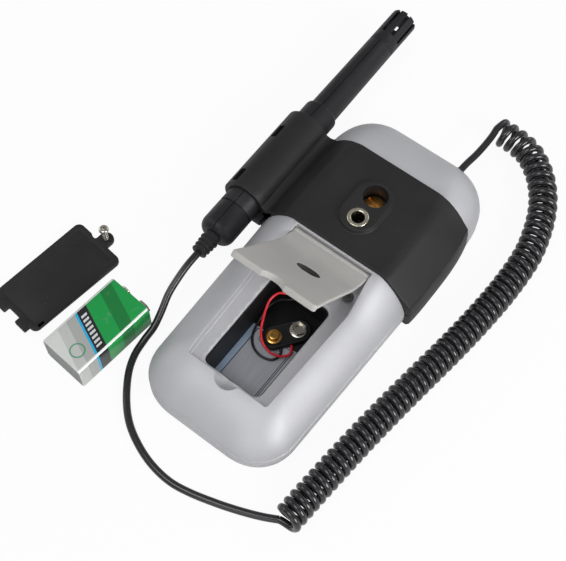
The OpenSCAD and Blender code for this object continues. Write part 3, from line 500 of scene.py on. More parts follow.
def mesh(name, *parts, smooth=40, place=None, merge=True):
    """A piece from meshes in millimetres, moved by place. Edges sharper than smooth degrees stay crisp.
    Merging joins the meshes where they meet, and turns the faces outwards."""
    points, faces = join(*parts)
    made = bpy.data.meshes.new(name)
    made.from_pydata(((place(points) if place else points) / 1000).tolist(), [], faces)
    made.validate()
    if merge:
        work = bmesh.new()
        work.from_mesh(made)
        bmesh.ops.remove_doubles(work, verts=work.verts, dist=2e-6)
        bmesh.ops.dissolve_degenerate(work, edges=work.edges, dist=1e-7)
        bmesh.ops.recalc_face_normals(work, faces=work.faces)
        if work.calc_volume(signed=True) < 0:
            bmesh.ops.reverse_faces(work, faces=work.faces)
        work.to_mesh(made)
        work.free()
    made.polygons.foreach_set("use_smooth", np.ones(len(made.polygons), bool))
    made.set_sharp_from_angle(angle=math.radians(smooth))
    made.update()
    return added(name, made)


# ---- Curly cord
# One glossy black vinyl cord runs from the meter's end to the probe. Its middle is wound into
# curls that keep their shape. It leaves the meter through a grommet and lies on the table.
CORD_D = 3.8
COIL_R, COIL_Z, CURLS = 5.8, 7.7, 58.5
CORD_EXIT = np.array([19.7, 106.5, 12.6])
COIL_AXIS = np.array([
    [21.5, 149.8], [31, 149.6], [41.5, 147.4], [51, 141.3], [58.8, 133.2], [65.5, 122.6], [70.8, 108.8], [74.4, 92],
    [75.1, 70], [73.9, 48], [71.7, 26], [68.8, 4], [66, -18], [63.6, -40], [61.7, -62], [60.6, -77], [59.5, -92]])
LEAD_POINTS = [CORD_EXIT, CORD_EXIT + [0, 4.5, 0], [20.1, 118, 12.6], [21, 126, 12.5], [21.4, 134, 12.6],
               [21.4, 141, 13]]
TAIL_POINTS = [
    [50, -95.2, 1.9], [44, -97.9, 1.9], [36, -101, 1.9], [27, -104, 1.9], [15, -107.3, 1.9], [4, -108.9, 1.9],
    [-8, -107.7, 1.9], [-19.5, -104, 1.9], [-30, -98.3, 1.9], [-39, -90, 1.9], [-47, -79.3, 1.9], [-51.1, -70, 1.9],
    [-52.2, -61, 3.2], [-52.1, -53.5, 5.6], [-53.6, -45.5, 8.6], [-55.8, -37, 11.6], [-56.6, -29, 14.1],
    [-56.9, -21, 16.1], [-56.8, -14.5, 17], [-56.8, -12.05, 17]]
# Shares of the curls at shares of the axis, because the photographed pitch differs along the cord
AXIS_SHARES, CURL_SHARES = [0, 0.24, 0.37, 1], [0, 0.207, 0.33, 1]
axis_line = spline(COIL_AXIS, 24)
axis_run = run_along(axis_line)


def curl(u):
    """Left-handed helix round the coil's axis: it starts at the top of the first curl and ends at the
    bottom of the last. Gives the cord's middle and the direction out from the axis."""
    def axis_at(s):
        return column(np.interp(s, axis_run, axis_line[:, 0]), np.interp(s, axis_run, axis_line[:, 1]), COIL_Z)
    s = u * axis_run[-1]
    along = unit(axis_at(np.minimum(axis_run[-1], s + 2)) - axis_at(np.maximum(0, s - 2)))
    side = np.cross(along, UP)
    turn = (2 * np.pi * CURLS * np.interp(u, AXIS_SHARES, CURL_SHARES))[:, None]
    outward = np.cos(turn) * UP - np.sin(turn) * side
    return axis_at(s) + COIL_R * outward, outward


def run_out(end, inner):
    """Where the cord goes on level from an end of the helix, one cord's width further."""
    ahead = (end - inner) * [1, 1, 0]
    return end + CORD_D * ahead / np.linalg.norm(ahead)


curls, curls_out = curl(np.linspace(0, 1, int(20 * CURLS) + 1))
lead_line = spline([*LEAD_POINTS, run_out(curls[0], curls[1])], 8)
tail_line = spline([run_out(curls[-1], curls[-2]), *TAIL_POINTS], 8)
# The straight ends ease into the helix over a few points, so that no kink shows
into = spline([lead_line[-9], lead_line[-1], curls[2], curls[4]], 6)[6:13]
out_of = spline([curls[-5], curls[-3], tail_line[0], tail_line[8]], 6)[6:13]
coil_line = np.vstack([lead_line[:-1], into[:-1], curls[2:-3], out_of])
before_curls = len(lead_line) - 1 + len(into) - 1
coil_out = np.vstack([np.tile(UP, (before_curls, 1)), curls_out[2:-3], np.tile(-UP, (len(out_of), 1))])
coil = mesh("curly_cord_whole", tube(coil_line, CORD_D / 2, 16, coil_out), smooth=60, merge=False)
tail = mesh("cord_tail_whole", tube(tail_line, CORD_D / 2, 16), smooth=60, merge=False)

vinyl = Finish("black_vinyl")
black_vinyl = vinyl.coat(
    Base_Color=(0.012, 0.012, 0.014), Roughness=vinyl.noise(60.0).step(0.2, 0.9) * 0.08 + 0.24,
    Normal=vinyl.bump(vinyl.noise(900.0), 0.00004), Coat_Weight=0.35, Coat_Roughness=0.12)
dress(coil, black_vinyl, "cord", "meter", "cord_lead", "curly_cord")
dress(tail, black_vinyl, "cord", None, "cord_tail")
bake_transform(tail)

# ---- Rear cover
# Moulded in plastic and sprayed satin silver. Its back holds the stand's recess, whose black floor opens
# on the battery box, and its sides curve down to the joint with the front cover.
JOINT_Z, SIDE_REACH, SIDE_POWER, CORNER_POWER = 10, 17.4, 1.42, 2.25


def half_width(y):
    """Half the body's width along the meter: its sides are tapered by 1.5 degrees."""
    return 43 + y * math.tan(math.radians(1.5))


def run_in(h, reach, power):
    """How far a rounded side has run in at height share h: reach (1 - (1 - h^power)^(1/power))."""
    return reach * (1 - np.maximum(0, 1 - h**power) ** (1 / power))


def eased(t):
    """0 to 1 as t goes from 0 to 1, level at both ends."""
    t = np.clip(t, 0, 1)
    return t * t * (3 - 2 * t)


def back_height(y):
    """The back's height along the meter: level, then up a smooth step to the holder band."""
    return 27.5 + 4 * eased(y / 24)


def plan_at(h, inset=0.0):
    """Sizes of the body's plan at height share h: its run-in, then the radii and the middle of its corners at
    the low end and at the high end."""
    side = run_in(h, SIDE_REACH, SIDE_POWER)
    share = side / SIDE_REACH
    low, high = -83.5 + inset + run_in(h, 24.5, 1.7), 111.5 - inset - run_in(h, 26, 2)
    rx0, ry0 = 25 - 13 * share - inset, 24 - 12 * share - inset
    rx1, ry1 = 28 - 16 * share - inset, 30 - 18 * share - inset
    y0, y1 = low + ry0, high - ry1
    x0, x1 = half_width(y0) - side - inset - rx0, half_width(y1) - side - inset - rx1
    return side + inset, rx0, ry0, x0, y0, rx1, ry1, x1, y1


def outline(h, inset=0.0, stations=60):
    """The body's plan at height share h as a loop: corners of x = middle + rx sin^p t, y = middle - ry cos^p t
    with p = 2/2.25, straight sides between, and the left half as the right one's mirror image. The sides have
    a number of stations along them, or the ones given."""
    side, rx0, ry0, x0, y0, rx1, ry1, x1, y1 = plan_at(h, inset)
    t = np.linspace(0, np.pi / 2, 25)
    s, c = np.sin(t) ** (2 / CORNER_POWER), np.maximum(np.cos(t), 0) ** (2 / CORNER_POWER)
    y = np.linspace(y0, y1, stations + 1)[1:-1] if np.isscalar(stations) else stations
    right = np.vstack([column(x0 + rx0 * s, y0 - ry0 * c), column(half_width(y) - side, y),
                       column(x1 + rx1 * c, y1 + ry1 * s)])
    return np.vstack([right, right[::-1] * [-1, 1]])


def skin_height(x, y):
    """The back's height over a plan point: the largest height share whose plan still holds it, found by
    halving, of the way from the joint to the back."""
    x = np.abs(x)
    low, high = np.zeros(len(x)), np.ones(len(x))
    for _ in range(24):
        h = (low + high) / 2
        side, rx0, ry0, x0, y0, rx1, ry1, x1, y1 = plan_at(h)
        corner0, corner1 = (np.clip(u, 0, 9) ** CORNER_POWER + np.clip(v, 0, 9) ** CORNER_POWER for u, v in
                            (((x - x0) / rx0, (y0 - y) / ry0), ((x - x1) / rx1, (y - y1) / ry1)))
        inside = (x <= half_width(y) - side) & ((y > y0) | (corner0 <= 1)) & ((y < y1) | (corner1 <= 1))
        low, high = np.where(inside, h, low), np.where(inside, high, h)
    return JOINT_Z + (back_height(y) - JOINT_Z) * np.where(low > 0.9999, 1, low)


def on_skin(loop, drop=0.0):
    """A loop laid on the back's skin, or some way below it."""
    return at_height(loop, skin_height(loop[:, 0], loop[:, 1]) - drop)


def on_floor(loop):
    """A loop laid on the recess's floor: flat, then up a straight ramp under the stand's knee to its hinge."""
    return at_height(loop, FLOOR_Z + 3.2 * np.clip((loop[:, 1] - 10.3) / 13.3, 0, 1))


FLOOR_Z, LEDGE_Z, COLLAR_Z, SHELL_TOP = 22.4, 21.15, 20.4, 18
RECESS = rounded([[23.2, -59.8], [25.5, 0], [22.9, 20.6], [22.9, 25], [-22.9, 25], [-22.9, 20.6], [-25.5, 0],
                  [-23.2, -59.8]], [1.6, 30, 20, 0.8, 0.8, 20, 30, 1.6], 1.2)
LUG = (1.2, 4.7)
opening_and_lug = rounded(
    [[-16.8, -57.8], [16.8, -57.8], [17.3, 0.2], [5.35, 0.2], [5.35, 8.85], [-2.95, 8.85], [-2.95, 0.2], [-17.3, 0.2]],
    [4, 4, 4, 0, 4.15, 4.15, 0, 4], 1.5)
opening = rounded([[-16.8, -57.8], [16.8, -57.8], [17.3, 0.2], [5.35, 0.2], [-2.95, 0.2], [-17.3, 0.2]],
                  [4, 4, 4, 0, 0, 4], 1.5)
INSERT_AT, LOCK_AT = (0, 44.6), (0, 59.8)
SCOOP_Y, SCOOP_Z, SCOOP_R = -58, 29, 7.2
# The sides go up in rings to height share 0.94. Over it the skin is filled through points of nine more.
shares = np.sin(np.linspace(0, math.asin(0.94 ** (1 / 1.2)), 24)) ** 1.2
side_rings = [at_height(outline(0, inset), z) for inset, z in ((0.8, 10.0), (0.35, 10.12), (0.1, 10.35), (0, 10.6))]
for h in shares[1:]:
    ring = outline(h)
    side_rings.append(at_height(ring, JOINT_Z + (back_height(ring[:, 1]) - JOINT_Z) * h))
angle, radius = np.meshgrid(np.arange(48) * np.pi / 24, np.arange(0.6, 8.4, 0.6))
scoop_dots = column((radius * np.cos(angle)).ravel(), (radius * np.sin(angle) + SCOOP_Y).ravel())
level_dots = grid(-44, 44, -66, 100, 3.0)
skin_dots = np.vstack([*[outline(h) for h in (0.948, 0.956, 0.964, 0.972, 0.98, 0.987, 0.993, 0.997, 0.9992)],
                       scoop_dots, level_dots[holds(outline(0.9999), level_dots)]])
rim_rings = [on_skin(offset(RECESS, -out), drop) for out, drop in foot_round(0.5, 0, 6)]
floor_heights = on_floor(RECESS)[:, 2]
floor_rings = [at_height(offset(RECESS, inset), floor_heights - down) for inset, down in top_round(0.6, 0, 6)]
pits = [on_skin(circle(*INSERT_AT, 5.55)), on_skin(circle(*LOCK_AT, 6.6))]
screw_holes = [on_floor(circle(side * 19, 11.5, 2.75)) for side in (-1, 1)]
floor_dots = np.vstack([scoop_dots, grid(-26, 26, -60, 26, 2.4)])
lug_hole = at_height(circle(*LUG, 1.3, 24), LEDGE_Z)
inside = [at_height(outline(h, 2), z) for h, z in ((0.45, SHELL_TOP), (0.25, 15), (0.1, 12), (0, 10))]
collar = offset(opening, -1.45)
cover_parts = [
    wall(*side_rings), fill(side_rings[-1], rim_rings[0], *pits, inner=on_skin(skin_dots), clear=0.35),
    wall(*rim_rings, *floor_rings),
    fill(floor_rings[-1], at_height(opening_and_lug, FLOOR_Z), *screw_holes, inner=on_floor(floor_dots), clear=0.5),
    wall(at_height(opening_and_lug, FLOOR_Z), at_height(opening_and_lug, LEDGE_Z)),
    fill(at_height(opening_and_lug, LEDGE_Z), at_height(opening, LEDGE_Z), lug_hole), *well(lug_hole, 16),
    wall(at_height(opening, LEDGE_Z), at_height(opening, 20.6), at_height(offset(opening, -0.2), COLLAR_Z),
         at_height(collar, COLLAR_Z), at_height(collar, SHELL_TOP)),
    fill(inside[0], at_height(collar, SHELL_TOP)), wall(*inside, side_rings[0])]
for top, base in zip([*screw_holes, *pits], (20, 20, 26, 23.5)):
    cover_parts += well(top, base)


def scooped(points):
    """Points over the finger scoop, sunk to its ball."""
    over = SCOOP_R**2 - points[:, 0] ** 2 - (points[:, 1] - SCOOP_Y) ** 2
    sunk = (over > 0) & (points[:, 2] > LEDGE_Z + 0.05)
    points[sunk, 2] = np.minimum(points[sunk, 2], SCOOP_Z - np.sqrt(over[sunk]))
    return points


rear_cover = mesh("rear_cover_painted", *cover_parts, smooth=38, place=scooped)
# Points on the upper skin are shaded by its own slope, from its heights 0.1 to either side
at = np.array([vertex.co for vertex in rear_cover.data.vertices]) * 1000
level = skin_height(at[:, 0], at[:, 1])
upper = (np.abs(at[:, 2] - level) < 0.01) & (level > 19)
x, y = at[upper, 0], at[upper, 1]
slope_x = skin_height(x + 0.1, y) - skin_height(x - 0.1, y)
slope_y = skin_height(x, y + 0.1) - skin_height(x, y - 0.1)
shading = np.zeros_like(at)
shading[upper] = unit(column(-slope_x, -slope_y, 0.2))
rear_cover.data.normals_split_custom_set_from_vertices(shading.tolist())

paint = Finish("satin_silver_paint")
silver_tone = paint.noise(38.0, 2.0).step(0.25, 0.8).mix(tone(184, 184, 187), tone(190, 190, 193))
silver_tone = paint.specks(silver_tone, (5200.0, 1.0), (0.45, 0.75), 0.22, tone(225, 226, 230))
silver_tone = paint.specks(silver_tone, (420.0, 3.0), (0.62, 0.8), 0.12, tone(150, 150, 152))
silver_paint = paint.coat(
    Base_Color=silver_tone, Metallic=0.25, Roughness=paint.noise(90.0).step(0.2, 0.9) * 0.06 + 0.5,
    Normal=paint.bump(paint.noise(1500.0, 2.0), 0.00003), Coat_Weight=0.08, Coat_Roughness=0.35)
dress(rear_cover, silver_paint, "body_paint", "meter", "rear_cover")

# ---- Front cover and its band
# The front half of the body is the same painted shell. A dark band runs across its face round the display,
# set into the face, and closes on the holder band at the sides.
FACE_LOW, FACE_HIGH, FACE_STEP, BAND_LEVEL = 25.85, 82.35, 0.01, 1.55
face_y = np.unique(np.r_[np.linspace(-58, 25.84, 34), 25.84, 25.86, np.linspace(25.9, 82.34, 22), 82.34, 82.36])
front_rings = [at_height(outline(0, inset, face_y), z) for inset, z in
               (*foot_round(4, 0, 7), (0, 9.4), (0.1, 9.65), (0.35, 9.85), (0.8, 9.95))]
for ring in front_rings:
    in_band = (ring[:, 1] > FACE_LOW) & (ring[:, 1] < FACE_HIGH)
    ring[in_band, 2] = np.maximum(ring[in_band, 2], BAND_LEVEL)
face = front_rings[0]


def sides_of_face(low, high):
    """The face's edge between two heights along the meter: its right side going up, and its left coming down."""
    part = face[(face[:, 1] > low) & (face[:, 1] < high)]
    return part[part[:, 0] > 0], part[part[:, 0] < 0]


KEYS = [("key_power", -9, 7), ("key_light", 9, 7), ("key_hold", -17, 19.2), ("key_max_min", 0, 19.2),
        ("key_unit", 17, 19.2)]


def key_loop(x, y, grow=0.0):
    """A key's plan: two half-circles of radius 3 joined by straight sides."""
    return np.vstack([arc(x + 3, y, 3 + grow, -90, 90, 13), arc(x - 3, y, 3 + grow, 90, 270, 13)])


key_holes = [at_height(key_loop(x, y, 0.15), 0.0) for _, x, y in KEYS]
key_floors = [at_height(hole, 1.9) for hole in key_holes]
window_hole = at_height(rounded(box_corners(-30.2, 30.2, 34, 74.2), 1.5, 4), BAND_LEVEL)
inner_front = [at_height(outline(0, 2, face_y), 9.95), at_height(outline(0, 2, face_y), 5.0),
               at_height(outline(0, 4, face_y), 3.0)]
front_parts = [
    fill(np.vstack(sides_of_face(-200, FACE_LOW)[::-1]), *key_holes), fill(np.vstack(sides_of_face(FACE_HIGH, 200))),
    fill(np.vstack(sides_of_face(FACE_LOW, FACE_HIGH)), window_hole), wall(*front_rings),
    wall(window_hole, at_height(window_hole, 3.0)), *[wall(*pair) for pair in zip(key_holes, key_floors)]]
for y, rise in ((FACE_LOW, FACE_STEP), (FACE_HIGH, -FACE_STEP)):
    x = face[(abs(face[:, 1] - y) < 0.02) & (face[:, 0] > 0), 0][0]
    front_parts.append(sheet_of(np.stack([column([-x, x], y - rise, 0.0), column([-x, x], y + rise, BAND_LEVEL)])))
front_parts += [
    wall(front_rings[-1], *inner_front),
    fill(inner_front[-1], *[at_height(h, 3.0) for h in key_holes], at_height(window_hole, 3.0)),
    *[wall(base, at_height(base, 3.0)) for base in key_floors]]
front_cover = mesh("front_cover_painted", *front_parts, smooth=38)
dress(front_cover, silver_paint, "body_paint", "meter", "front_cover")

BAND_LOW, BAND_HIGH, BAND_ROUND, BAND_GAP = 26.0, 82.2, 0.7, 0.4
ends = BAND_ROUND * (1 - np.cos(np.linspace(0, np.pi / 2, 5)))
band_y = np.r_[BAND_LOW + ends, np.linspace(27, 81.2, 44), BAND_HIGH - ends[::-1]]
# How far the band's surface is drawn in near its two ends: a quarter circle
from_end = np.minimum(np.minimum(band_y - BAND_LOW, BAND_HIGH - band_y), BAND_ROUND)
band_in = BAND_ROUND - np.sqrt(np.maximum(0, BAND_ROUND**2 - (BAND_ROUND - from_end) ** 2))


def band_half(y):
    """Half the band's width: 47.8, closing in towards its ends with the cube of the distance from its middle."""
    return 47.8 - 2.9 * (np.abs(y - 48) / 34.5) ** 3


def corner_path(corners, radii, step):
    """An open path through corners, with points at least every step. Each corner is a quadratic curve
    between the places where an arc of its radius would meet its two sides."""
    c = np.asarray(corners, float)
    out = [c[:1]]
    for k in range(1, len(c) - 1):
        u, v = unit(c[k] - c[k - 1]), unit(c[k + 1] - c[k])
        turn = math.atan2(u[0] * v[1] - u[1] * v[0], u @ v)
        reach = radii[k - 1] * abs(math.tan(turn / 2))
        t = np.linspace(0, 1, 9)[:, None]
        out.append((1 - t) ** 2 * (c[k] - reach * u) + 2 * t * (1 - t) * c[k] + t**2 * (c[k] + reach * v))
    path = np.vstack([*out, c[-1:]])
    run = run_along(path)
    fine = np.unique(np.r_[run[np.r_[True, np.diff(run) > 1e-4]], np.arange(0, run[-1], step)])
    return column(np.interp(fine, run, path[:, 0]), np.interp(fine, run, path[:, 1]))


def band_sheet(section, joint_row):
    """A section carried along the band: x = half-width + its x, or the body's skin + 0.7 where that is
    further out, as (a + b + sqrt((a - b)^2 + 0.3)) / 2, drawn in by its normal near the ends. The row at the
    joint keeps its height."""
    along = unit(np.gradient(section, axis=0))
    y = band_y[:, None]
    z = np.broadcast_to(section[None, :, 1], (len(band_y), len(section))).copy()
    x = band_half(y) + section[None, :, 0]
    h = np.clip((z - JOINT_Z) / (back_height(y) - JOINT_Z), 0, 1)
    skin_x = half_width(y) - run_in(h, SIDE_REACH, SIDE_POWER) + 0.7
    x = np.where((z > 17.6) & (z < 31.6), (x + skin_x + np.sqrt((x - skin_x) ** 2 + 0.3)) / 2, x)
    x, z = x - band_in[:, None] * along[None, :, 1], z + band_in[:, None] * along[None, :, 0]
    z[:, joint_row] = section[joint_row, 1]
    return column(x, y, z)


# Right half of the holder band's section, from its foot up: x counted from the band's half-width, and z
right_flank = band_sheet(corner_path(
    [[-0.2, 10.05], [-0.9, 15.4], [-1.5, 17.9], [-16.6, 31.7], [-20.5, 33], [-25, 33]], [3, 1.2, 7, 12], 3), 0)
left_flank = right_flank * MIRROR
left_points, flank_faces = sheet_of(left_flank)
# The top is level between the fifth rows from its ends, and turns down over the last ones
band_top = np.vstack([right_flank[4:-4, -1], left_flank[::-1][4:-4, -1]])
top_ends = [sheet_of(np.stack([right_flank[rows, -1], left_flank[rows, -1]], 1)) for rows in
            (slice(0, 5), slice(-5, None))]
PAD_X, PAD_LOW, PAD_HIGH, PAD_Z = -0.6, 46.8, 58.2, 35.0
pad_rings = [at_height(np.vstack([arc(PAD_X, PAD_HIGH, r, 0, 180, 25), arc(PAD_X, PAD_LOW, r, 180, 360, 25)]), z)
             for r, z in ((11.3, 33.0), (10.95, 33.06), (10.75, 33.25), (10.1, 34.55), (9.95, 34.82), (9.7, 34.96),
                          (9.4, PAD_Z))]
pad_holes = [circle(*INSERT_AT, 5.52), circle(*LOCK_AT, 6.5)]
hole_rims = [tiers(loop, (-0.35, PAD_Z), (-0.1, 34.9), (0, 34.65)) for loop in pad_holes]


def under_band(loop):
    """A loop on the band's underside, which lies a little inside the body's skin."""
    return at_height(loop, np.maximum(skin_height(loop[:, 0], loop[:, 1]) - BAND_GAP, 10.05))


under_y = np.linspace(BAND_LOW, BAND_HIGH, 30)
side_right = column(half_width(under_y) - BAND_GAP, under_y, 10.05)
low_line, high_line = (under_band(column(np.cos(np.linspace(*way, 90)) * (half_width(y) - BAND_GAP), y))
                       for y, way in ((BAND_LOW, (np.pi, 0)), (BAND_HIGH, (0, np.pi))))
under_loop = np.vstack([low_line, side_right[1:-1], high_line, side_right[-2:0:-1] * MIRROR])
hole_feet = [under_band(offset(loop, -0.025)) for loop in pad_holes]
band_parts = [
    sheet_of(right_flank), (left_points, flank_faces[:, ::-1]), fill(band_top, pad_rings[0]), *top_ends,
    wall(*pad_rings), fill(pad_rings[-1], *[rims[0] for rims in hole_rims]),
    fill(under_loop, *hole_feet, inner=under_band(grid(-43, 43, BAND_LOW + 1, BAND_HIGH, 2.0)))]
for rims, feet, deep in zip(hole_rims, hole_feet, (26.3, 23.8)):
    band_parts.append(wall(*rims, at_height(rims[-1], deep), at_height(feet, deep), feet))
foot = np.vstack([right_flank[:, 0], side_right[::-1]])
band_parts += [fill(foot), fill(foot * MIRROR)]
for row, line in ((0, low_line), (-1, high_line)):
    inner = line[np.argsort(-line[:, 0])]
    band_parts.append(upright(np.vstack([right_flank[row], left_flank[row][::-1], inner[::-1]])))

# The sleeve that holds the probe is drawn unrolled, as angle and length, with its two windows cut in it
PROBE_X, PROBE_Z, PROBE_PIVOT, PROBE_TURN = -58.6, 17.0, 118.0, math.radians(0.8)
SLEEVE_LOW, SLEEVE_HIGH, SLEEVE_R, SLEEVE_BORE = 26.5, 81.7, 12.65, 9.9


def beside(x, y, z):
    """Places by the probe's axis, x across and y along it: the axis is turned by PROBE_TURN round its pivot."""
    c, s, along = math.cos(PROBE_TURN), math.sin(PROBE_TURN), y - PROBE_PIVOT
    return column(PROBE_X + x * c - along * s, PROBE_PIVOT + x * s + along * c, z)


def roll(unrolled, radius):
    """Points of (angle in degrees from straight up, length) laid on a round of the radius."""
    a = np.radians(unrolled[:, 0])
    return beside(-radius * np.sin(a), unrolled[:, 1], PROBE_Z + radius * np.cos(a))


turn = np.linspace(-180, 180, 121)
sleeve_y = np.linspace(SLEEVE_LOW, SLEEVE_HIGH, 29)[1:-1]
sleeve_edge = np.vstack([column(turn, SLEEVE_LOW), column(180.0, sleeve_y), column(turn[::-1], SLEEVE_HIGH),
                         column(-180.0, sleeve_y[::-1])])
windows = [rounded(box_corners(30.5, 49.5, y, y + 8.5), 0.7, 1) for y in (28.5, 61.7)]
dot_turn, dot_y = np.meshgrid(turn[1:-1], np.linspace(28, 80, 14))
sleeve, sleeve_faces = fill(sleeve_edge, *windows, inner=column(dot_turn.ravel(), dot_y.ravel()), clear=1.5)
band_parts += [(roll(sleeve, SLEEVE_R), sleeve_faces), (roll(sleeve, SLEEVE_BORE), sleeve_faces[:, ::-1]),
               *[wall(roll(window, SLEEVE_R), roll(window, SLEEVE_BORE)) for window in windows]]
for y, way in ((SLEEVE_LOW, -1), (SLEEVE_HIGH, 1)):
    band_parts.append(wall(*[roll(column(turn[:-1], y + way * out), r) for r, out in (
        (SLEEVE_R, 0), (12.58, 0.25), (12.4, 0.43), (12.15, 0.5), (10.4, 0.5), (10.05, 0.35), (SLEEVE_BORE, 0))]))


def soft_box(x0, x1, y0, y1, z0, z1, r):
    """A box whose edges are rounded by r."""
    plan = rounded(box_corners(x0, x1, y0, y1), min(r * 1.5, (x1 - x0) / 3), 50)
    return capped(tiers(plan, *foot_round(r, z0), *top_round(r, z1)))


# A hollow of radius 4 joins the sleeve to the band's slope, and a small tab stands at its foot
web = np.vstack([arc(-43.6, 25.6, 4.0, 205, 318, 15), [[-39.6, 22], [-39.6, 12], [-46.5, 12], [-46.7, 20]]])[::-1]
web_rings = []
for y, inset in ((26.0, 0.4), (26.12, 0.12), (26.4, 0), (81.8, 0), (82.08, 0.12), (82.2, 0.4)):
    loop = offset(web, inset)
    web_rings.append(column(loop[:, 0], y, loop[:, 1]))
band_parts += [wall(*web_rings), disc(web_rings[0]), disc(web_rings[-1]),
               soft_box(-47.3, -44.6, 26.6, 81.6, 10.4, 21, 0.6), soft_box(-49.8, -44.2, 22, 26.6, 10.4, 15.3, 0.5)]
holster = mesh("holster_band_moulded", *band_parts, smooth=35)

# The face's band: a shallow U with the display's window in it
GLASS_Z = 1.45
face_right = band_sheet(corner_path([[-6, 0.3], [-1.5, 0.3], [0, 3], [-0.2, 9.95]], [1, 2], 3), -1)
face_left = face_right * MIRROR
glass_hole = rounded(box_corners(-28.5, 28.5, 35.6, 72.6), 2, 4)
glass_rims = tiers(glass_hole, (-0.5, face_right[5, 0, 2]), (0, 0.7), (0, GLASS_Z))
inside_y = np.linspace(BAND_LOW, BAND_HIGH, 12)
inner_wall = np.stack([column(half_width(inside_y) - inset, inside_y, z) for inset, z in
                       ((1.2, GLASS_Z), (0.2, 3.2), (0.2, 9.95))], 1)
face_parts = [sheet_of(face_right), sheet_of(face_left),
              fill(np.vstack([face_right[:, 0], face_left[::-1, 0]]), glass_rims[0]), wall(*glass_rims),
              fill(np.vstack([inner_wall[:, 0], (inner_wall[:, 0] * MIRROR)[::-1]]), glass_rims[-1])]
for side in (np.ones(3), MIRROR):
    face_parts += [sheet_of(inner_wall * side), fill(np.vstack([face_right[:, -1], inner_wall[::-1, -1]]) * side)]
for row in (0, -1):
    face_parts.append(upright(np.vstack([face_right[row], inner_wall[row][::-1], inner_wall[row] * MIRROR,
                                         face_left[row][::-1]])))
face_band = mesh("front_band_moulded", *face_parts, smooth=35)

moulded = Finish("charcoal_moulding")
band_tone = moulded.noise(30.0, 2.0).step(0.25, 0.8).mix(tone(30, 30, 31), tone(38, 37, 37))
band_tone = moulded.specks(band_tone, (700.0, 2.0), (0.66, 0.78), 0.25, tone(92, 90, 88))
charcoal = moulded.coat(
    Base_Color=band_tone, Specular_IOR_Level=0.35, Roughness=moulded.noise(60.0).step(0.2, 0.9) * 0.08 + 0.46,
    Normal=moulded.bump(moulded.noise(2400.0, 2.0), 0.00005))
dress(holster, charcoal, "band", "meter", "holster_band")
dress(face_band, charcoal, "band", "meter", "front_band")

# ---- Stand
# A grey plastic plate with one soft bend turns on two pins in the recess. Its foot has a thick lip that
# follows a finger notch, and a slot for hanging the meter up. It is drawn shut and then turned open.
HINGE_Y, HINGE_Z, KNEE, STAND_LEN, STAND_T, BEND = 22.6, 28.6, 14.5, 51.3, 2.2, 7
FLAT_Z, OPEN = 24.8, math.radians(-47.1)
KNEE_Y = HINGE_Y - math.sqrt(KNEE**2 - (HINGE_Z - FLAT_Z) ** 2)
FOOT, HALF_T = KNEE + STAND_LEN, STAND_T / 2
NOTCH_R, NOTCH_DEEP, SLOT_X, SLOT_ALONG = 7.2, 3.5, 2.5, 17.0


def bent(flat, rise):
    """Plate points (x, distance s from the hinge) raised by rise square to the plate. Its middle line is
    straight to BEND before the knee, a quadratic curve through it, and level beyond."""
    s, drop, ahead = flat[:, 1], (HINGE_Z - FLAT_Z) / KNEE, (HINGE_Y - KNEE_Y) / KNEE
    t = np.clip((s - KNEE + BEND) / (2 * BEND), 0, 1)
    curve_y = (1 - t) ** 2 * (HINGE_Y - (KNEE - BEND) * ahead) + 2 * t * (1 - t) * KNEE_Y + t**2 * (KNEE_Y - BEND)
    curve_z = (1 - t) ** 2 * (HINGE_Z - (KNEE - BEND) * drop) + 2 * t * (1 - t) * FLAT_Z + t**2 * FLAT_Z
    before, beyond = s < KNEE - BEND, s > KNEE + BEND
    y = np.where(before, HINGE_Y - s * ahead, np.where(beyond, KNEE_Y - (s - KNEE), curve_y))
    z = np.where(before, HINGE_Z - s * drop, np.where(beyond, FLAT_Z, curve_z))
    slope = np.arctan2(drop, ahead) * (1 - t)
    return column(flat[:, 0], y - rise * np.sin(slope), z + rise * np.cos(slope))


notch_from = math.degrees(math.asin(-NOTCH_DEEP / NOTCH_R))
notch = arc(0, FOOT + NOTCH_DEEP, NOTCH_R, notch_from, -180 - notch_from, 21)
plate = rounded([[-22.4, -1.2], [22.4, -1.2], [22.8, FOOT - 18], [23.4, FOOT], [0, FOOT + 0.001], [-23.4, FOOT],
                 [-22.8, FOOT - 18]], [1.2, 1.2, 0, 1.6, 0, 1.6, 0], 1.5)
split = int(np.argmax((plate[:, 1] > FOOT - 0.01) & (plate[:, 0] < NOTCH_R)))
blank = np.vstack([plate[:split], notch, plate[split:][plate[split:][:, 0] < -NOTCH_R]])
ellipse = np.linspace(0, 2 * np.pi, 41)[:-1]
slot_top = column(SLOT_X + 6.6 * np.cos(ellipse), KNEE + SLOT_ALONG + 4.2 * np.sin(ellipse))
slot_low = offset(slot_top, 2.0)
foot_line = np.vstack([column(np.linspace(NOTCH_R, 23, 20), FOOT), notch, column(np.linspace(-NOTCH_R, -23, 20), FOOT)])


def lip(flat):
    """How much thicker the plate is: 1.0 along the foot and the notch, eased out from 2.2 to 2.9 in from them."""
    return eased((2.9 - np.linalg.norm(flat[:, None] - foot_line[None], axis=2).min(1)) / 0.7)


def bar(half_length, radius):
    """A round bar across the meter at the hinge, with its ends rounded over."""
    turn = np.arange(24) * np.pi / 12
    rings = [column(x, HINGE_Y + r * np.cos(turn), HINGE_Z + r * np.sin(turn)) for x, r in (
        (-half_length, radius - 0.3), (0.3 - half_length, radius), (half_length - 0.3, radius),
        (half_length, radius - 0.3))]
    return join(wall(*rings), disc(rings[0]), disc(rings[-1]))


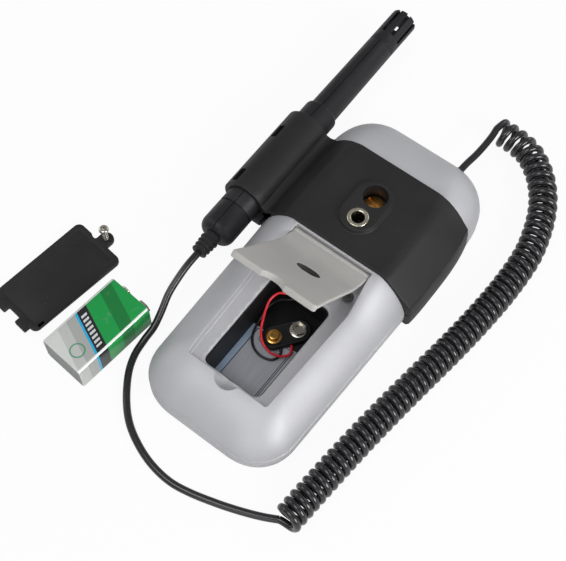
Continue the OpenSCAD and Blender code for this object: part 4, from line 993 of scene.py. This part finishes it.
stand_dots = np.vstack([grid(-22, 22, 0, FOOT, 1.6), foot_line - [0, 2.3], foot_line - [0, 3.0],
                        offset(notch[::-1], 2.3), offset(notch[::-1], 3.0)])
edge_steps = top_round(0.45, HALF_T, 4)
top_loops = [bent(offset(blank, inset), z) for inset, z in edge_steps[::-1]]
low_loops = [bent(offset(blank, inset), -z - lip(blank)) for inset, z in edge_steps]
top_flat, top_faces = fill(offset(blank, 0.45), slot_top, inner=stand_dots, clear=0.5)
low_flat, low_faces = fill(offset(blank, 0.45), slot_low, inner=stand_dots, clear=0.5)
open_cos, open_sin = math.cos(OPEN), math.sin(OPEN)


def opened(points):
    """Points of the shut stand, turned open round its hinge."""
    y, z = points[:, 1] - HINGE_Y, points[:, 2] - HINGE_Z
    return column(points[:, 0], HINGE_Y + open_cos * y - open_sin * z, HINGE_Z + open_sin * y + open_cos * z)


stand = mesh(
    "stand_plate", (bent(top_flat, HALF_T), top_faces), wall(*top_loops, *low_loops),
    (bent(low_flat, -HALF_T - lip(low_flat)), low_faces),
    wall(bent(slot_top, HALF_T), bent(offset(slot_top, 0.15), HALF_T - 0.35), bent(slot_low, -HALF_T - lip(slot_low))),
    bar(22.4, 1.9), bar(24.3, 1.2), smooth=35, place=opened)

plain = Finish("grey_plastic")
rub = plain.noise(26.0, 4.0, 0.6).step(0.3, 0.75)
grey_tone = plain.specks(rub.mix(tone(176, 174, 170), tone(186, 184, 180)), (300.0, 2.0), (0.68, 0.8), 0.2,
                         tone(140, 138, 134))
# Painted shade in the slot, for the shadow under the stand seen through it: (across / 6.6)^2 + (along / 4.2)^2 < 1.1,
# counted from the slot's middle, between the plate's two faces. Both are taken back from the open stand to the shut
# one.
wx, wy, wz = plain.parts()
from_y, from_z = wy - HINGE_Y / 1000, wz - HINGE_Z / 1000
along = from_y * open_cos + from_z * open_sin - (KNEE_Y - SLOT_ALONG - HINGE_Y) / 1000
level = from_z * open_cos - from_y * open_sin - (FLAT_Z - HINGE_Z) / 1000
wide, tall = (wx - SLOT_X / 1000) / 0.0066, along / 0.0042
between = (1.0 - level.step(0.00095, 0.00103)) * level.step(-0.00105, -0.001)
slot_painted_shade = (1.0 - (wide * wide + tall * tall).step(1.1, 1.15)) * between
grey_plastic = plain.coat(Base_Color=slot_painted_shade.mix(grey_tone, tone(30, 29, 20)), Roughness=rub * 0.08 + 0.46,
                          Normal=plain.bump(plain.noise(1800.0, 2.0), 0.00004))
dress(stand, grey_plastic, "stand", "stand", "stand")

# ---- Battery box, its floor plate, and the snap connector on its two leads
# A black tapered tub under the opening, with a printed grey plate for its floor. A soft black pad with a
# brass stud and a nickel hexagonal socket lies loose in it, on one red and one black lead.
def evenly(loop):
    """A closed loop's points taken again at 160 even steps along it, from the same start."""
    ring = np.vstack([loop, loop[:1]])
    run = run_along(ring)
    s = np.linspace(0, run[-1], 161)[:-1]
    return np.stack([np.interp(s, run, ring[:, k]) for k in range(ring.shape[1])], 1)


BOX_HIGH, BOX_LOW, BOX_WALL = 20.35, 2.1, 1.2
box_top = evenly(rounded([[-16, -57], [16, -57], [16.5, -0.6], [-16.5, -0.6]], 3.2, 1))
box_low = evenly(rounded([[-14.7, -56], [14.7, -56], [14.7, 0.2], [-14.7, 0.2]], 1.6, 1))
inside_rings = [at_height(box_top + (box_low - box_top) * t, BOX_HIGH + (BOX_LOW - BOX_HIGH) * t)
                for t in np.linspace(0, 1, 12)]
outside_rings = [at_height(offset(ring, -BOX_WALL), ring[0, 2]) for ring in inside_rings]
battery_box = mesh("battery_box_tub", wall(*inside_rings, *outside_rings[::-1], inside_rings[0]), smooth=35)
plate_loop = rounded([[-15.7, -56.9], [15.7, -56.9], [15.7, 1.2], [-15.7, 1.2]], 1.2, 60)
plate_rings = tiers(plate_loop, (0.1, 2.05), (0, 2.15), (0, 3.0), (0.05, 3.1), (0.15, 3.15))
floor_plate = mesh("floor_plate_printed", capped(plate_rings), smooth=35)

box_plastic = mottled("black_box_plastic", (45.0, 2.0), (0.2, 0.9), (tone(16, 16, 18), tone(23, 23, 25)), (0.42, 0.1),
                      (0.00004, 1600.0, 2.0), Specular_IOR_Level=0.35)
printed = Finish("printed_floor_and_painted_shade")
px, py, _ = printed.parts()
grain = printed.place.node("Mapping", Vector=printed.place, Scale=(900.0, 60.0, 60.0))
brushed = printed.noise(1.0, 3.0, 0.6, place=grain)
plate_tone = brushed.step(0.2, 0.8).mix(tone(176, 179, 187), tone(188, 191, 199))
# A fine outline where the battery goes, doubled on the right, and two double rings where its terminals go
PRINT_LEFT, PRINT_RIGHT, PRINT_LOW, PRINT_HIGH = -0.0114, 0.0096, -0.0541, -0.0215
in_length = (1.0 - py.step(PRINT_HIGH, PRINT_HIGH + 0.0001)) * py.step(PRINT_LOW, PRINT_LOW + 0.0001)
in_width = px.step(PRINT_LEFT, PRINT_LEFT + 0.0001) * (1.0 - px.step(PRINT_RIGHT, PRINT_RIGHT + 0.0001))
ink = (stroke(px - PRINT_LEFT, 0.00022) + stroke(px - PRINT_RIGHT, 0.00016)
       + stroke(px - PRINT_RIGHT - 0.0009, 0.00016)) * in_length
ink = ink + (stroke(py - PRINT_HIGH, 0.00016) + stroke(py - PRINT_LOW, 0.00016)) * in_width
for ring_x, ring_y, radii in ((-0.0062, -0.0248, (0.0017, 0.0006)), (0.0036, -0.0251, (0.0019, 0.0008))):
    for radius in radii:
        ink = ink + stroke(away(px, py, ring_x, ring_y) - radius, 0.00014)
ink = ink.maths("MINIMUM", 1.0)
plate_tone = (1.0 - px.step(PRINT_LEFT - 0.0002, PRINT_LEFT)).mix(plate_tone, tone(176, 196, 220))
# Painted shade: black beyond the battery's place, where the box's upper end lies in shadow under the stand
plate_tone = py.step(-0.0207, -0.0204).mix(plate_tone, tone(15, 15, 16))
plate_print_and_shade = printed.coat(Base_Color=(ink * 0.9).mix(plate_tone, tone(26, 26, 28)), Metallic=0.1,
                           Roughness=brushed * 0.08 + 0.4, Normal=printed.bump(brushed, 0.000006))


SNAP_AT, SNAP_TURN, PAD_TOP, PITCH = np.array([-1.4, -21.7, 3.25]), 53.6, 3.42, 12.7
# A socket's opening petals: six sides, on the rings 4 to 9 of its profile
HEXAGON = (6, 4, 9)
pill = np.vstack([arc(13.1, 0, 6.3, -90, 90, 25), arc(-0.4, 0, 6.3, 90, 270, 25)])
pill_rings = tiers(pill, (0.5, 0), (0.1, 0.2), (0, 0.6), (0, 2.6), (0.15, 3.05), (0.45, 3.3), (0.8, 3.4), (1.3, 3.4),
                   (1.5, 3.25), (1.8, 3.2))
STUD = [(0, 0), (4, 0), (4, 0.3), (3.8, 0.42), (2.75, 0.5), (2.6, 0.7), (2.55, 1.7), (2.8, 2.2), (2.85, 2.5),
        (2.7, 2.85), (2.3, 3.0), (1.5, 3.0), (1.3, 2.75), (0, 2.7)]
SOCKET = [(0, 0), (4.4, 0), (4.4, 0.3), (4.25, 0.42), (3.9, 0.5), (3.85, 1.2), (4.0, 2.4), (3.9, 2.75), (3.5, 2.85),
          (3.0, 2.7), (2.9, 2.3), (2.9, 0.6), (0, 0.55)]
pad = mesh("snap_connector_pad", capped(pill_rings), place=lambda p: shift(p, SNAP_AT, SNAP_TURN))
snap_stud = mesh("snap_stud_brass", spun(STUD), place=lambda p: p + SNAP_AT + [0, 0, PAD_TOP])
snap_socket = mesh("snap_socket_nickel", spun(SOCKET, sides=HEXAGON),
                   place=lambda p: shift(p + [PITCH, 0, PAD_TOP], SNAP_AT, SNAP_TURN))
gold = plated("gold_plating", tone(214, 170, 92), tone(176, 132, 66), 0.2)
nickel = plated("nickel_plating", tone(214, 210, 200), tone(176, 170, 158), 0.2)
dress(battery_box, box_plastic, "compartment", "meter", "battery_box")
dress(floor_plate, plate_print_and_shade, "floor_plate", "meter", "floor_plate")
dress(pad, box_plastic, "snap_pad", "meter", "snap_connector")
dress(snap_stud, gold, "snap_gold", "meter", "snap_stud")
dress(snap_socket, nickel, "snap_nickel", "meter", "snap_socket")

LEAD_R = 0.65
RED_POINTS = [
    [-6, -0.5, 15.5], [-8, -2.5, 15.6], [-11.5, -4.5, 15], [-13, -9, 14], [-12, -14, 13.2], [-10, -19, 12.4],
    [-7.5, -24, 11.6], [-3.5, -28.5, 10.6], [2, -30.5, 9.4], [7.5, -29, 8], [10.5, -25, 6.6], [9.5, -21.5, 5.4],
    [7.2, -18.9, 4.9]]
BLACK_POINTS = [
    [-2, -0.5, 15.5], [-5, -3.5, 14], [-10, -5.5, 11], [-13.2, -10, 7.5], [-13.3, -16, 5.2], [-12.5, -22, 4.4],
    [-10.5, -27.5, 4.1], [-6.5, -31.5, 4], [-1, -33, 4], [4.5, -31.5, 4], [6.5, -27.5, 4.2], [4.6, -23.6, 4.7],
    [3.4, -22, 4.9]]
for name, points, tones in (("red_lead", RED_POINTS, (tone(214, 28, 44), tone(232, 52, 66))),
                            ("black_lead", BLACK_POINTS, (tone(20, 20, 21), tone(30, 30, 32)))):
    line = spline(points, 10)
    lead = mesh(name + "_wire", tube(line, LEAD_R, 14), smooth=60, merge=False)
    rubber = mottled(name + "_insulation", (220.0, 2.0), (0.3, 0.7), tones, (0.32, 0.08), (0.00003,))
    dress(lead, rubber, name.replace("lead", "wire"), "meter", name)

# ---- Tripod insert and lock screw
# The holder's pad has a nickel-plated bush threaded for a camera tripod, and beside it a bore with a
# slotted brass screw at its foot that clamps the holder to the body.
BUSH_Z, THREAD_R, THREAD_PITCH = 26.02, 3.18, 1.27
bush_profile = [(0, 0), (5.45, 0), (5.45, 8.7), (5.3, 9.05), (5.0, 9.2), (4.1, 9.2), (3.8, 9.1), (3.5, 8.9),
                *[(THREAD_R, 8.9 - 0.15 * k) for k in range(50)], (3.1, 1.0), (0, 1.0)]
insert = mesh("tripod_bush", wall(*threaded(bush_profile, THREAD_PITCH, 0.42, 1.4, 8.85)), smooth=50,
              place=lambda p: p + [*INSERT_AT, BUSH_Z])

# The screw's head is a disc with a slot cut across it
HEAD_R, HEAD_Z, SLOT_HALF, SLOT_FOOT = 5.35, 2.6, 0.6, 1.6
slot_x = math.sqrt(HEAD_R**2 - SLOT_HALF**2)
corner = math.degrees(math.asin(SLOT_HALF / HEAD_R))
half_disc = arc(0, 0, HEAD_R, corner, 180 - corner, 29)
half_disc[0, 1] = half_disc[-1, 1] = SLOT_HALF
slot_loop = np.array([[-slot_x, -SLOT_HALF], [slot_x, -SLOT_HALF], [slot_x, SLOT_HALF], [-slot_x, SLOT_HALF]])
rim = np.vstack([half_disc, -half_disc])
screw_rings = [at_height(rim * share, z) for share, z in
               ((0.43, -5), (0.43, 0), (5.6 / HEAD_R, 0), (5.6 / HEAD_R, 2.3), (1.03, 2.5), (1, HEAD_Z))]
deep, shallow = at_height(slot_loop, SLOT_FOOT), at_height(slot_loop, HEAD_Z)
slot_sides = [(np.vstack([deep[[j, k]], shallow[[k, j]]]), [(0, 1, 2, 3)]) for j, k in ((0, 1), (3, 2), (0, 3), (1, 2))]
lock_screw = mesh("lock_screw_slotted", wall(*screw_rings), fill(screw_rings[0]), fill(at_height(half_disc, HEAD_Z)),
                  fill(at_height(-half_disc, HEAD_Z)), (deep, [(0, 1, 2, 3)]), *slot_sides, smooth=35,
                  place=lambda p: shift(p, np.array([*LOCK_AT, 23.55]), -25))
# The bush is nickel too, with painted shade down in its thread
bushing = Finish("nickel_bush")
bush_x, bush_y, _ = bushing.parts()
face_clear_of_bore_shade = away(bush_x, bush_y, INSERT_AT[0] / 1000, INSERT_AT[1] / 1000).step(0.0034, 0.0038)
worn_spots = bushing.noise(500.0, 2.0).step(0.3, 0.8)
face_tone = worn_spots.mix(tone(214, 206, 188), tone(190, 182, 164))
bush_metal = bushing.coat(Base_Color=face_clear_of_bore_shade.mix(tone(70, 68, 62), face_tone), Metallic=1.0,
                          Roughness=worn_spots * 0.06 + 0.24)
brass = plated("brass", tone(240, 178, 98), tone(206, 140, 70), 0.28)
dress(insert, bush_metal, "nickel", "meter", "tripod_insert")
dress(lock_screw, brass, "brass", "meter", "lock_screw")

# ---- Battery
# A nine-volt block in a printed steel jacket, whose two ends are rolled over a black terminal board with a
# stud and a hexagonal socket, and over a grey base. Its print is a plain pattern of bars.
BATTERY_AT, BATTERY_TURN, BATTERY_TOP = np.array([-70.8, -73.2, 8.75]), -5.2, 23.2


def laid(points, up=(0, 0, 0)):
    """Points drawn with the battery standing up, raised by up and laid down where the battery lies."""
    p = points + np.array(up)
    return shift(column(p[:, 0], p[:, 2], -p[:, 1]), BATTERY_AT, BATTERY_TURN)


block = rounded(box_corners(-13.25, 13.25, -8.75, 8.75), 2.4, 3)
# Each end of the jacket: along the side, over the rolled edge, and down inside it to the end board
ROLL_OVER = [(0, 22.2), (0, 22.7), (0.08, 23.0), (0.28, 23.18), (0.5, 23.2), (0.66, 23.1), (0.7, 22.9), (0.7, 22.05)]
# The board in each end, dished a little and rounded at its edge
BOARD = [(0.75, 22.1), (0.75, 22.95), (0.87, 23.08), (1.15, 23.14), (1.95, 23.14), (2.35, 23.0), (2.95, 22.96)]
STUD_UP = [(0, 0), (3.6, 0), (3.6, 0.3), (3.45, 0.42), (2.7, 0.5), (2.6, 0.7), (2.55, 1.4), (2.8, 1.8), (2.85, 2.1),
           (2.7, 2.45), (2.3, 2.6), (1.5, 2.6), (1.3, 2.4), (0, 2.35)]
SOCKET_UP = [(0, 0), (4.4, 0), (4.4, 0.3), (4.25, 0.42), (3.9, 0.5), (3.85, 1.1), (4.0, 2.2), (3.9, 2.5), (3.5, 2.6),
             (3.0, 2.45), (2.9, 2.1), (2.9, 0.6), (0, 0.55)]
down = [(inset, -z) for inset, z in ROLL_OVER[::-1]]
jacket = mesh("battery_jacket", capped(tiers(block, *down, *ROLL_OVER)), place=laid)
battery_cap = mesh("battery_top_board", capped(tiers(block, *BOARD)), place=laid)
battery_base = mesh("battery_base_board", capped(tiers(block, *[(inset, -z) for inset, z in BOARD])), place=laid)
battery_stud = mesh("battery_stud_plated", spun(STUD_UP), place=lambda p: laid(p, (-PITCH / 2, 0, BATTERY_TOP)))
battery_socket = mesh("battery_socket_plated", spun(SOCKET_UP, sides=HEXAGON),
                      place=lambda p: laid(p, (PITCH / 2, 0, BATTERY_TOP)))

wrap = Finish("battery_print_and_painted_highlight")
home = shift([-BATTERY_AT / 1000], 0, -BATTERY_TURN)[0]
local = wrap.place.node("Mapping", Vector=wrap.place, Location=tuple(home.tolist()),
                        Rotation=(0, 0, math.radians(-BATTERY_TURN)))
bx, by, bz = wrap.parts(local)
slant = by + bx * 0.34
up_block = (slant + 0.0232) / 0.0464
print_tone = up_block.node("ValToRGB", {"ease": "CONSTANT", "stops": [
    (0.0, tone(206, 208, 204)), (0.1, tone(186, 188, 184)), (0.22, tone(164, 166, 162)), (0.34, tone(34, 168, 212)),
    (0.37, tone(22, 22, 28)), (0.5, tone(6, 148, 66)), (0.7, tone(4, 116, 50)), (0.86, tone(6, 148, 66))]},
    Fac=up_block)
# Short pale bars in the black band and a green ring in the silver are print; each rounded edge has a painted highlight
on_face = abs(bz).step(0.0079, 0.0082)
bars = ((1.0 - abs(slant + 0.0032).step(0.0017, 0.0018)) * (bx * 420.0).maths("FRACT").step(0.42, 0.5)
        * on_face * (1.0 - abs(bx).step(0.0092, 0.0094)))
ring = (1.0 - abs(away(bx, by, 0.0035, -0.0155) - 0.0036).step(0.00035, 0.00045)) * on_face
edge_highlight = (1.0 - abs(abs(bx) - 0.0121).step(0.00045, 0.0006)) * abs(bz).step(0.0071, 0.0073)
for share, colour in ((bars * 0.9, (214, 218, 216)), (ring * 0.8, (20, 140, 90)), (edge_highlight * 0.9, (236, 238, 236))):
    print_tone = share.mix(print_tone, tone(*colour))
scuff = wrap.noise(240.0, 3.0).step(0.62, 0.78) * 0.25
jacket_print_and_highlight = wrap.coat(Base_Color=scuff.mix(print_tone, tone(150, 152, 150)), Roughness=scuff * 0.3 + 0.3,
                         Normal=wrap.bump(wrap.noise(900.0, 2.0), 0.00002), Coat_Weight=0.3, Coat_Roughness=0.15)
fibre_board = mottled("grey_fibre_board", (700.0, 3.0), (0.25, 0.8), (tone(128, 130, 130), tone(150, 152, 152)),
                      (0.55, 0.1), (0.00003,))
for piece, material, slot, node in (
        (jacket, jacket_print_and_highlight, "battery_wrap", "battery_can"), (battery_cap, box_plastic, "battery_cap", "battery_cap"),
        (battery_base, fibre_board, "battery_base", "battery_base"),
        (battery_stud, nickel, "battery_terminal", "battery_stud"),
        (battery_socket, nickel, "battery_terminal", "battery_socket")):
    dress(piece, material, slot, "battery", node)

# ---- Battery cover and its screw
# A flat charcoal lid with two tabs at one end and a lug at the other, laid beside the meter with its
# self-tapping cross-head screw standing in the lug.
COVER_AT, COVER_TURN, COVER_T, BORE_AT = np.array([-110.8, -60.3, 0]), -7, 2.5, (1.2, 31.8)
lid = rounded([[-15.9, -28.8], [-11.9, -28.8], [-11.9, -32.2], [-4.1, -32.2], [-4.1, -28.8], [4.1, -28.8],
               [4.1, -32.2], [11.9, -32.2], [11.9, -28.8], [15.9, -28.8], [16.4, 28.8], [5.2, 28.8], [5.2, 35.8],
               [-2.8, 35.8], [-2.8, 27.9], [-4.8, 27.9], [-6.8, 28.8], [-16.4, 28.8]],
              [3.4, 0.4, 0.8, 0.8, 0.5, 0.5, 0.8, 0.8, 0.4, 3.4, 3.5, 0.8, 3.9, 3.9, 1, 0.9, 1, 3.5], 1.5)
lid_rings = tiers(lid, *foot_round(0.35, 0), *top_round(0.6, COVER_T))
bore = [at_height(circle(*BORE_AT, r, 28), z) for r, z in ((1.56, 0), (1.56, 2.2), (1.8, COVER_T))]
# A shallow frame line runs round the lid's outer face
frame_line = rounded([[-13, -26], [13, -26], [13.4, 26], [-13.4, 26]], 2.5, 2)
line_rings = tiers(frame_line, (0, COVER_T), (0.25, 2.42), (0.45, 2.42), (0.7, COVER_T))
battery_cover = mesh(
    "battery_cover_lid", wall(*lid_rings), fill(lid_rings[0], bore[0]), fill(lid_rings[-1], bore[-1], line_rings[0]),
    wall(*line_rings), fill(line_rings[-1]), wall(*bore), smooth=35, place=lambda p: shift(p, COVER_AT, COVER_TURN))

shank = np.arange(0.8, 10.7, 0.12)
shank_r = np.clip(0.25 + 0.62 * shank, 0, 1.12)
shank_rings = threaded([(0, 0), (0.3, 0.15), *zip(shank_r.tolist(), shank.tolist())], 1.15, 0.4, 0.8, 10.0, 32)
head = turned([(1.6, 10.72), (2.3, 11.1), (2.6, 11.4), (2.65, 11.7), (2.58, 12.1), (2.4, 12.5), (2.15, 12.78),
               (1.9, 12.9), (1.75, 12.95)], 32)
cross = np.array([[1.4, -0.35], [1.4, 0.35], [0.45, 0.45], [0.35, 1.4], [-0.35, 1.4], [-0.45, 0.45], [-1.4, 0.35],
                  [-1.4, -0.35], [-0.45, -0.45], [-0.35, -1.4], [0.35, -1.4], [0.45, -0.45]])
cross_rings = [at_height(cross * share, z) for share, z in ((1, 12.95), (0.9, 12.4), (0.5, 11.8))]
screw_at = shift([[*BORE_AT, 0]], COVER_AT, COVER_TURN)[0]
cover_screw = mesh(
    "cover_screw_cross", wall(*shank_rings, *head), disc(shank_rings[0]), fill(head[-1], cross_rings[0]),
    wall(*cross_rings), fill(cross_rings[-1]), place=lambda p: shift(p, screw_at, COVER_TURN + 20))
dress(battery_cover, charcoal, "cover", "battery_door", "battery_cover")
dress(cover_screw, nickel, "screw_steel", "door_screw", "cover_screw")

# ---- Probe, with its strain relief and sensor cap
# Two moulded half-shells meet along a fine seam. A ribbed rubber relief holds the cord at one end, and at
# the other a slotted cap lets air to the sensor.
def held(points):
    """Points drawn with the probe standing up, laid along the meter in its holder."""
    return beside(points[:, 0], points[:, 2], PROBE_Z - points[:, 1])


SEAM_HALF, SEAM_DEEP = 2.0, 0.5
seams = np.radians([90.0, 270.0])
seam_turns = [seam + np.radians([-SEAM_HALF, 0, SEAM_HALF]) for seam in seams]
around = np.sort(np.unique(np.r_[np.arange(96) * np.pi / 48, *seam_turns].round(6)) % (2 * np.pi))
dent = np.where(np.abs(around[:, None] - seams).min(1) < 0.001, SEAM_DEEP, 0.0)
SHELL = [(0, 0.02), (4.4, 0.02), (6.3, 0.02), (6.65, 0.1), (7.5, 0.55), (8.3, 1.25), (8.9, 2.1), (9.3, 2.95),
         (9.55, 3.9), (9.65, 4.9), (9.65, 17.1), (9.55, 17.3), (8.95, 17.4), (8.95, 18.2), (9.55, 18.3), (9.65, 18.5),
         (9.65, 50), (9.65, 92.9), (9.6, 93.4), (9.4, 94.0), (9.05, 94.5), (8.6, 94.85), (8.3, 95.0), (8.1, 95.15),
         (8.05, 95.5), (7.85, 122), (7.66, 149.6), (7.55, 149.9), (6.5, 149.98), (0, 149.98)]
shell_rings = []
for r, z in SHELL:
    reach = r - dent * (r > 4.9)
    shell_rings.append(column(reach * np.cos(around), reach * np.sin(around), z))
probe = mesh("probe_shells", wall(*shell_rings), smooth=30, place=held)

# The relief tapers, with four ribs of radius 4.2 to 4.95 that stand over valleys
relief_profile = [(1.95, 0.05), (2.7, 0.05), (3.0, 0.25)]
for rib in range(4):
    z, r = 0.3 + 2.6 * rib, 4.2 + 0.25 * rib
    valley = 3.0 + 0.1 * (z + 2)
    relief_profile += [(valley, z), (r - 0.25, z + 0.05), (r, z + 0.3), (r, z + 1.1), (r - 0.25, z + 1.38),
                       (valley, z + 1.45), (valley + 0.1, z + 2.4)]
relief_profile += [(4.2, 11.4), (4.3, 12.3), (4.3, 14), (1.95, 14), (1.95, 0.05)]
relief = mesh("strain_relief_ribbed", wall(*turned(relief_profile)), place=lambda p: held(p - [0, 0, 12]))

# The cap: a ring, a lid, and eight fins between them, with a slot of 2 between two fins
CAP_R, CAP_BORE, LID_BORE, CAP_FINS, SLOT_WIDE = 7.65, 5.75, 4.8, 8, 2
cap_ring = [(CAP_BORE, 150.05), (7.6, 150.05), (CAP_R, 150.2), (CAP_R, 156.5), (7.55, 156.65), (5.8, 156.65),
            (CAP_BORE, 156.4), (CAP_BORE, 150.05)]
cap_lid = [(0, 172.2), (5.6, 172.2), (5.7, 172.4), (5.7, 174.2), (5.5, 174.4), (0, 174.42)]
outer, inner = (180 / CAP_FINS - math.degrees(math.asin(SLOT_WIDE / 2 / r)) for r in (CAP_R, LID_BORE))
sector = np.vstack([arc(0, 0, CAP_R, -outer, outer, 13), arc(0, 0, LID_BORE, inner, -inner, 9)])
thin = np.vstack([sector[:13], sector[13:] * (CAP_BORE / LID_BORE)])
fin, fin_faces = capped([at_height(loop * share, z) for loop, share, z in (
    (thin, 1, 156.4), (thin, 1, 172.3), (sector, 1, 172.3), (sector, 1, 173.6), (sector, 0.985, 174.0),
    (sector, 0.93, 174.38))])
fins = [(shift(fin, 0, 46.5 + 360 / CAP_FINS * k), fin_faces) for k in range(CAP_FINS)]
sensor_cap = mesh("sensor_cap_slotted", wall(*turned(cap_ring, 72)), spun(cap_lid, 72), *fins, smooth=35, place=held)

GROMMET = [(1.93, 106), (2.8, 106), (2.8, 111.1), (3.3, 111.15), (3.35, 111.3), (3.2, 111.55), (2.6, 111.65),
           (2.1, 111.5), (1.93, 111.2), (1.93, 106)]
grommet = mesh("cord_grommet_ring", wall(*turned(GROMMET, 40)),
               place=lambda p: column(CORD_EXIT[0] + p[:, 0], p[:, 2], CORD_EXIT[2] - p[:, 1]))

matt = Finish("black_matt_plastic")
film = matt.noise(34.0, 3.0).step(0.25, 0.8)
matt_tone = matt.specks(film.mix(tone(26, 26, 29), tone(34, 34, 37)), (520.0, 2.0), (0.68, 0.8), 0.2, tone(78, 78, 80))
matt_black = matt.coat(Base_Color=matt_tone, Specular_IOR_Level=0.35, Roughness=film * 0.08 + 0.44,
                       Normal=matt.bump(matt.noise(2200.0, 2.0), 0.00005))
rubber = mottled("black_rubber", (160.0, 3.0), (0.3, 0.8), (tone(22, 22, 23), tone(31, 31, 32)), (0.5, 0.1),
                 (0.00005, 1400.0, 2.0))
dress(probe, matt_black, "probe", "probe", "probe_shell_right", "probe_shell_left")
dress(relief, rubber, "relief", "probe", "strain_relief")
dress(sensor_cap, matt_black, "probe", "probe", "sensor_cap")
dress(grommet, rubber, "grommet", "meter", "cord_grommet")

# ---- Keys, display and circuit boards
# Five rubber keys show in the face. Behind the window lie the display, its frame and contact strips, and
# the boards with their chips and switches, which keep their plain solids and get their finishes here.
KEY_PROFILE = [(0.9, 0.5), (0.35, 0.6), (0.08, 0.85), (0, 1.2), (0, 2.13), (-0.8, 2.15), (-0.8, 3.1), (0.5, 3.15)]
for name, x, y in KEYS:
    cap = mesh(name + "_cap", capped(tiers(key_loop(x, y), *KEY_PROFILE)))
    tones, slot = (tone(146, 146, 144), tone(160, 160, 158)), "key"
    if name == "key_power":
        tones, slot = (tone(176, 58, 44), tone(190, 70, 54)), "key_red"
    key_rubber = mottled(name + "_rubber", (180.0, 2.0), (0.3, 0.8), tones, (0.5, 0.1), (0.00003,))
    dress(cap, key_rubber, slot, name[4:] + "_key", name)


def carried(material, *nodes):
    """Gives a finish to CAD nodes that are shown as they are."""
    for node in nodes:
        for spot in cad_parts[node].material_slots:
            spot.material = material


carried(mottled("window_glass", (60.0, 3.0), (0.4, 0.8), ((0.93, 0.95, 0.95), (0.88, 0.9, 0.9)), (0.04, 0.04),
                Alpha=0.35), "lcd_window")
carried(mottled("display_glass", (50.0, 2.0), (0.2, 0.8), (tone(150, 160, 140), tone(158, 167, 148)), (0.2, 0.05)),
        "lcd_module")
carried(charcoal, "lcd_frame")
strip = Finish("contact_strip")
layer = (strip.parts()[2] * 9000.0).maths("FRACT").step(0.4, 0.6)
carried(strip.coat(Base_Color=layer.mix(tone(214, 150, 150), tone(60, 56, 56)), Roughness=layer * 0.1 + 0.5),
        "zebra_strips")
board = Finish("circuit_board")
maze = board.place.node("TexVoronoi", {"feature": "DISTANCE_TO_EDGE"}, Vector=board.place, Scale=420.0)
maze = maze.step(0.04, 0.09)
weave_tone = board.noise(2600.0, 2.0).step(0.3, 0.7).mix(tone(22, 92, 58), tone(30, 108, 68))
carried(board.coat(Base_Color=maze.mix(tone(60, 140, 92), weave_tone), Roughness=maze * 0.1 + 0.3,
                   Normal=board.bump(maze, 0.00003)), "main_board")
carried(mottled("chip_resin", (3000.0, 2.0), (0.3, 0.7), (tone(26, 26, 28), tone(38, 38, 40)), (0.5, 0.1), (0.00002,)),
        "main_chip", "key_switches", "sensor_chip", "sensor_board")
carried(plated("screw_steel", tone(170, 170, 168), tone(140, 140, 138), 0.28), "case_screws")
